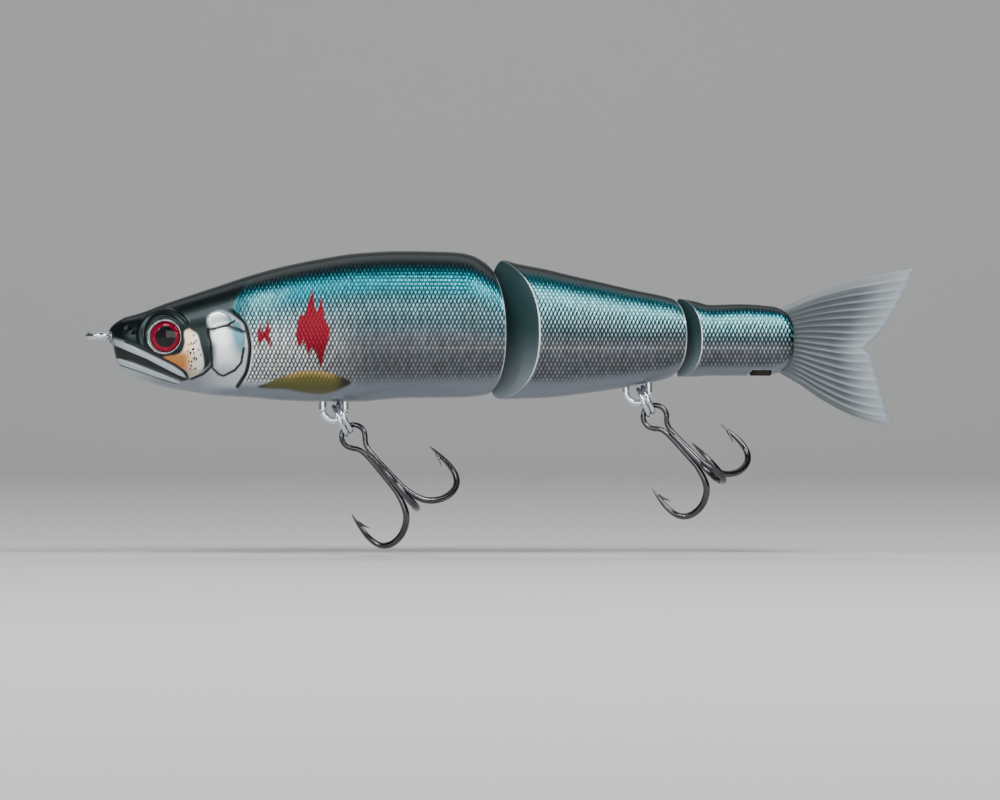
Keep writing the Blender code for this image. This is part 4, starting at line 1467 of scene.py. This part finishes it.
def lens_profile():
    """The lens's flat base and its dome, from the rim to the top."""
    rim, base = LENS_BASE[-1]
    dome = []
    for i in range(1, DOME_STEPS):
        angle = math.radians(90 * i / DOME_STEPS)
        dome.append((rim * math.cos(angle) ** 0.9, base + DOME_HEIGHT * math.sin(angle)))
    return [*LENS_BASE, *dome, (0, base + DOME_HEIGHT)]


def fin_surface():
    """Middle surface of the fin as (x, z), fanned from the root to the trailing edge."""
    u = np.linspace(0, 1, FIN_ROWS)[:, None, None]
    v = np.linspace(0, 1, FIN_COLUMNS)[None, :, None]
    top = resample(FIN_TOP, FIN_ROWS)
    bottom = resample(FIN_BOTTOM, FIN_ROWS)
    root = resample(FIN_ROOT, FIN_COLUMNS)
    upper = resample(FIN_TRAIL_TOP, int(FIN_COLUMNS * FIN_NOTCH))
    lower = resample(FIN_TRAIL_BOTTOM, FIN_COLUMNS - len(upper) + 1)
    trail = np.vstack([upper, lower[1:]])
    across = (1 - v) * top[:, None] + v * bottom[:, None]
    along = (1 - u) * root[None] + u * trail[None]
    corner = (1 - u) * ((1 - v) * top[0] + v * bottom[0]) + u * ((1 - v) * top[-1] + v * bottom[-1])
    return across + along - corner


def fin_grid():
    """Middle surface, half thickness and colour of the ribbed fin."""
    u = np.linspace(0, 1, FIN_ROWS)[:, None]
    v = np.linspace(0, 1, FIN_COLUMNS)[None, :]
    wave = np.abs(np.cos(np.pi * FIN_RAYS * v))
    ridge = wave**3 * smooth(0.03, 0.3, u) * smooth(1.0, 0.9, u)
    side_rim = np.sqrt(np.clip(smooth(0, 0.05, np.minimum(v, 1 - v) * 2), 0.02, 1))
    trail_rim = np.sqrt(np.clip(smooth(1.0, 0.97, u), 0.05, 1))
    half = (0.98 - 0.52 * smooth(0.0, 1.0, u) + 0.16 * ridge) * side_rim * trail_rim
    colour = mix(srgb(0.24, 0.28, 0.3), srgb(0.6, 0.64, 0.67), smooth(0.6, 1.0, u))
    edge = np.minimum(smooth(0.12, 0.0, v) + 0.35 * smooth(0.08, 0.0, 1 - v), 1)
    colour = mix(colour, srgb(0.62, 0.64, 0.66), edge * 0.7)
    line = wave**8 * smooth(0.05, 0.2, u) * (0.2 + 0.4 * smooth(0.3, 0.9, u))
    return fin_surface(), half, mix(colour, srgb(0.7, 0.73, 0.75), line)


def fin_mesh(name):
    """Both sides of the fin and the band that closes them round the edge."""
    surface, half, colour = fin_grid()
    sides = [np.stack([surface[..., 0], side * half, surface[..., 1]], axis=-1) for side in (1, -1)]
    points = np.concatenate(sides).reshape(-1, 3)
    index = np.arange(half.size).reshape(half.shape)
    near = np.concatenate([index[:, 0], index[-1, 1:], index[-2::-1, -1], index[0, -2:0:-1]])
    far = near + half.size
    band = np.stack([near, far, np.roll(far, -1), np.roll(near, -1)], axis=-1)
    quads = np.concatenate([grid_quads(index), grid_quads(index + half.size)[:, ::-1], band])
    mesh = bpy.data.meshes.new(name)
    mesh.from_pydata((points * MM).tolist(), [], quads.tolist())
    mesh.update()
    store_paint(mesh, np.concatenate([colour, colour]))
    work = bmesh.new()
    work.from_mesh(mesh)
    write_mesh(work, mesh)
    mesh.shade_smooth()
    return mesh


def fin_root_mesh(name):
    """The fin's tab in the tail section and the locking lug seen in the window under it."""
    work = bmesh.new()
    add_box(work, *FIN_TAB)
    slant_foot(add_box(work, *FIN_LUG), LUG_SLANT)
    bmesh.ops.bevel(work, geom=work.edges[:], offset=0.25 * MM, segments=4, affect="EDGES")
    paint = work.verts.layers.float_color.new("paint")
    for vert in work.verts:
        vert[paint] = rgba(0.13, 0.13, 0.1)
    mesh = write_mesh(work, bpy.data.meshes.new(name))
    mesh.shade_smooth()
    return mesh


# ---- assembly


def build_bodies():
    for label, spec in BODY_SPECS.items():
        grids = skin_grid(spec)
        for side_name, side in SIDES.items():
            name = f"{label}_skin_{side_name}"
            sockets = [eye_socket(side)] if spec["head"] else []
            mesh = carve(skin_mesh(name, grids, side), sockets + spec["cutters"]())
            add_piece(name, mesh, "body_paint", f"{label}_body", [f"{label}_shell_{side_name}"])


def add_wire(node, body, slot, splines, radius):
    name = f"{node}_wire"
    add_piece(name, wire_data(name, splines, radius), slot, body, [node])


def build_wires():
    add_wire("line_tie", "front_body", "bright_steel", [(line_tie_points(), None)], TIE_WIRE)
    for end, body in (("front", "front_body"), ("rear", "middle_body")):
        splines = [(hanger_points(HANGERS[end]), None)]
        add_wire(f"{end}_hanger", body, "bright_steel", splines, HANGERS[end]["wire"])
    for end, ring in RINGS.items():
        splines = [(split_ring_points(ring), None)]
        add_wire(f"{end}_split_ring", f"{end}_ring", "bright_steel", splines, RING_WIRE)
    for end, spec in TREBLES.items():
        for part, bend in (("double", treble_pair), ("single", treble_third)):
            node, splines = f"{end}_treble_{part}", bend(spec, RINGS[end])
            add_wire(node, f"{end}_treble", "black_nickel", splines, HOOK_WIRE)


def build_eyes():
    for side_name, side in SIDES.items():
        for part, slot, profile in (
            ("eye_disc", "eye_print", DISC_PROFILE),
            ("eye_lens", "eye_clear", lens_profile()),
        ):
            node = f"{part}_{side_name}"
            mesh = lathe_mesh(f"{node}_shape", profile, ROUND_SIDES)
            add_piece(f"{node}_shape", mesh, slot, "front_body", [node], eye_matrix(side))


def build_fin():
    add_piece("tail_fin_blade", fin_mesh("tail_fin_blade"), "soft_fin", "tail_body", ["tail_fin"])
    add_piece("tail_fin_root", fin_root_mesh("tail_fin_root"), "soft_fin", "tail_body")


def finish_kept_nodes():
    """Gives each frame node that still shows its finished material."""
    slots = {row["node"]: row["material_slot"] for row in frame["record"]["subparts"]}
    for name, obj in frame["nodes"].items():
        if slots.get(name) not in KEPT_SLOTS or obj.hide_render:
            continue
        for place in obj.material_slots:
            place.material = LOOKS[slots[name]]


def build_backdrop():
    """A pale floor that curves up behind the object."""
    profile = [(-FLOOR_REACH, FLOOR_LEVEL), (BACKDROP_START, FLOOR_LEVEL)]
    centre = (BACKDROP_START, FLOOR_LEVEL + BACKDROP_BEND)
    profile += arc(centre, BACKDROP_BEND, -90, 0, BACKDROP_STEPS)[1:]
    profile.append((BACKDROP_START + BACKDROP_BEND, BACKDROP_TOP))
    corners = [(side, y, z) for y, z in profile for side in (-FLOOR_REACH, FLOOR_REACH)]
    faces = [(2 * i, 2 * i + 1, 2 * i + 3, 2 * i + 2) for i in range(len(profile) - 1)]
    mesh = bpy.data.meshes.new("floor")
    mesh.from_pydata(corners, [], faces)
    mesh.shade_smooth()
    mesh.materials.append(floor_grey())
    floor = bpy.data.objects.new("floor", mesh)
    bpy.context.scene.collection.objects.link(floor)


def build_lights():
    world = bpy.data.worlds.new("studio")
    world.use_nodes = True
    background = world.node_tree.nodes["Background"]
    background.inputs["Color"].default_value = WORLD_COLOUR
    background.inputs["Strength"].default_value = WORLD_STRENGTH
    bpy.context.scene.world = world
    for name, (place, aim, size, power) in LIGHTS.items():
        light = bpy.data.lights.new(name, "AREA")
        light.shape = "RECTANGLE"
        light.size, light.size_y = size
        light.energy = power
        obj = bpy.data.objects.new(name, light)
        bpy.context.scene.collection.objects.link(obj)
        obj.location = place
        obj.rotation_euler = (Vector(aim) - Vector(place)).to_track_quat("-Z", "Y").to_euler()


def build_camera():
    """The long-lens camera square to the side."""
    camera = bpy.data.cameras.new("camera")
    camera.sensor_width = SENSOR_WIDTH
    camera.lens = SENSOR_WIDTH * VIEW_DISTANCE * MM / FRAME_WIDTH
    camera.clip_start, camera.clip_end = 0.01, 20.0
    obj = bpy.data.objects.new("camera", camera)
    bpy.context.scene.collection.objects.link(obj)
    obj.location = Vector((VIEW_CENTRE[0], -VIEW_DISTANCE, VIEW_CENTRE[1])) * MM
    obj.rotation_euler = (math.radians(90), 0, 0)
    bpy.context.scene.camera = obj


build_backdrop()
build_lights()
build_camera()
build_bodies()
build_wires()
build_eyes()
build_fin()
finish_kept_nodes()
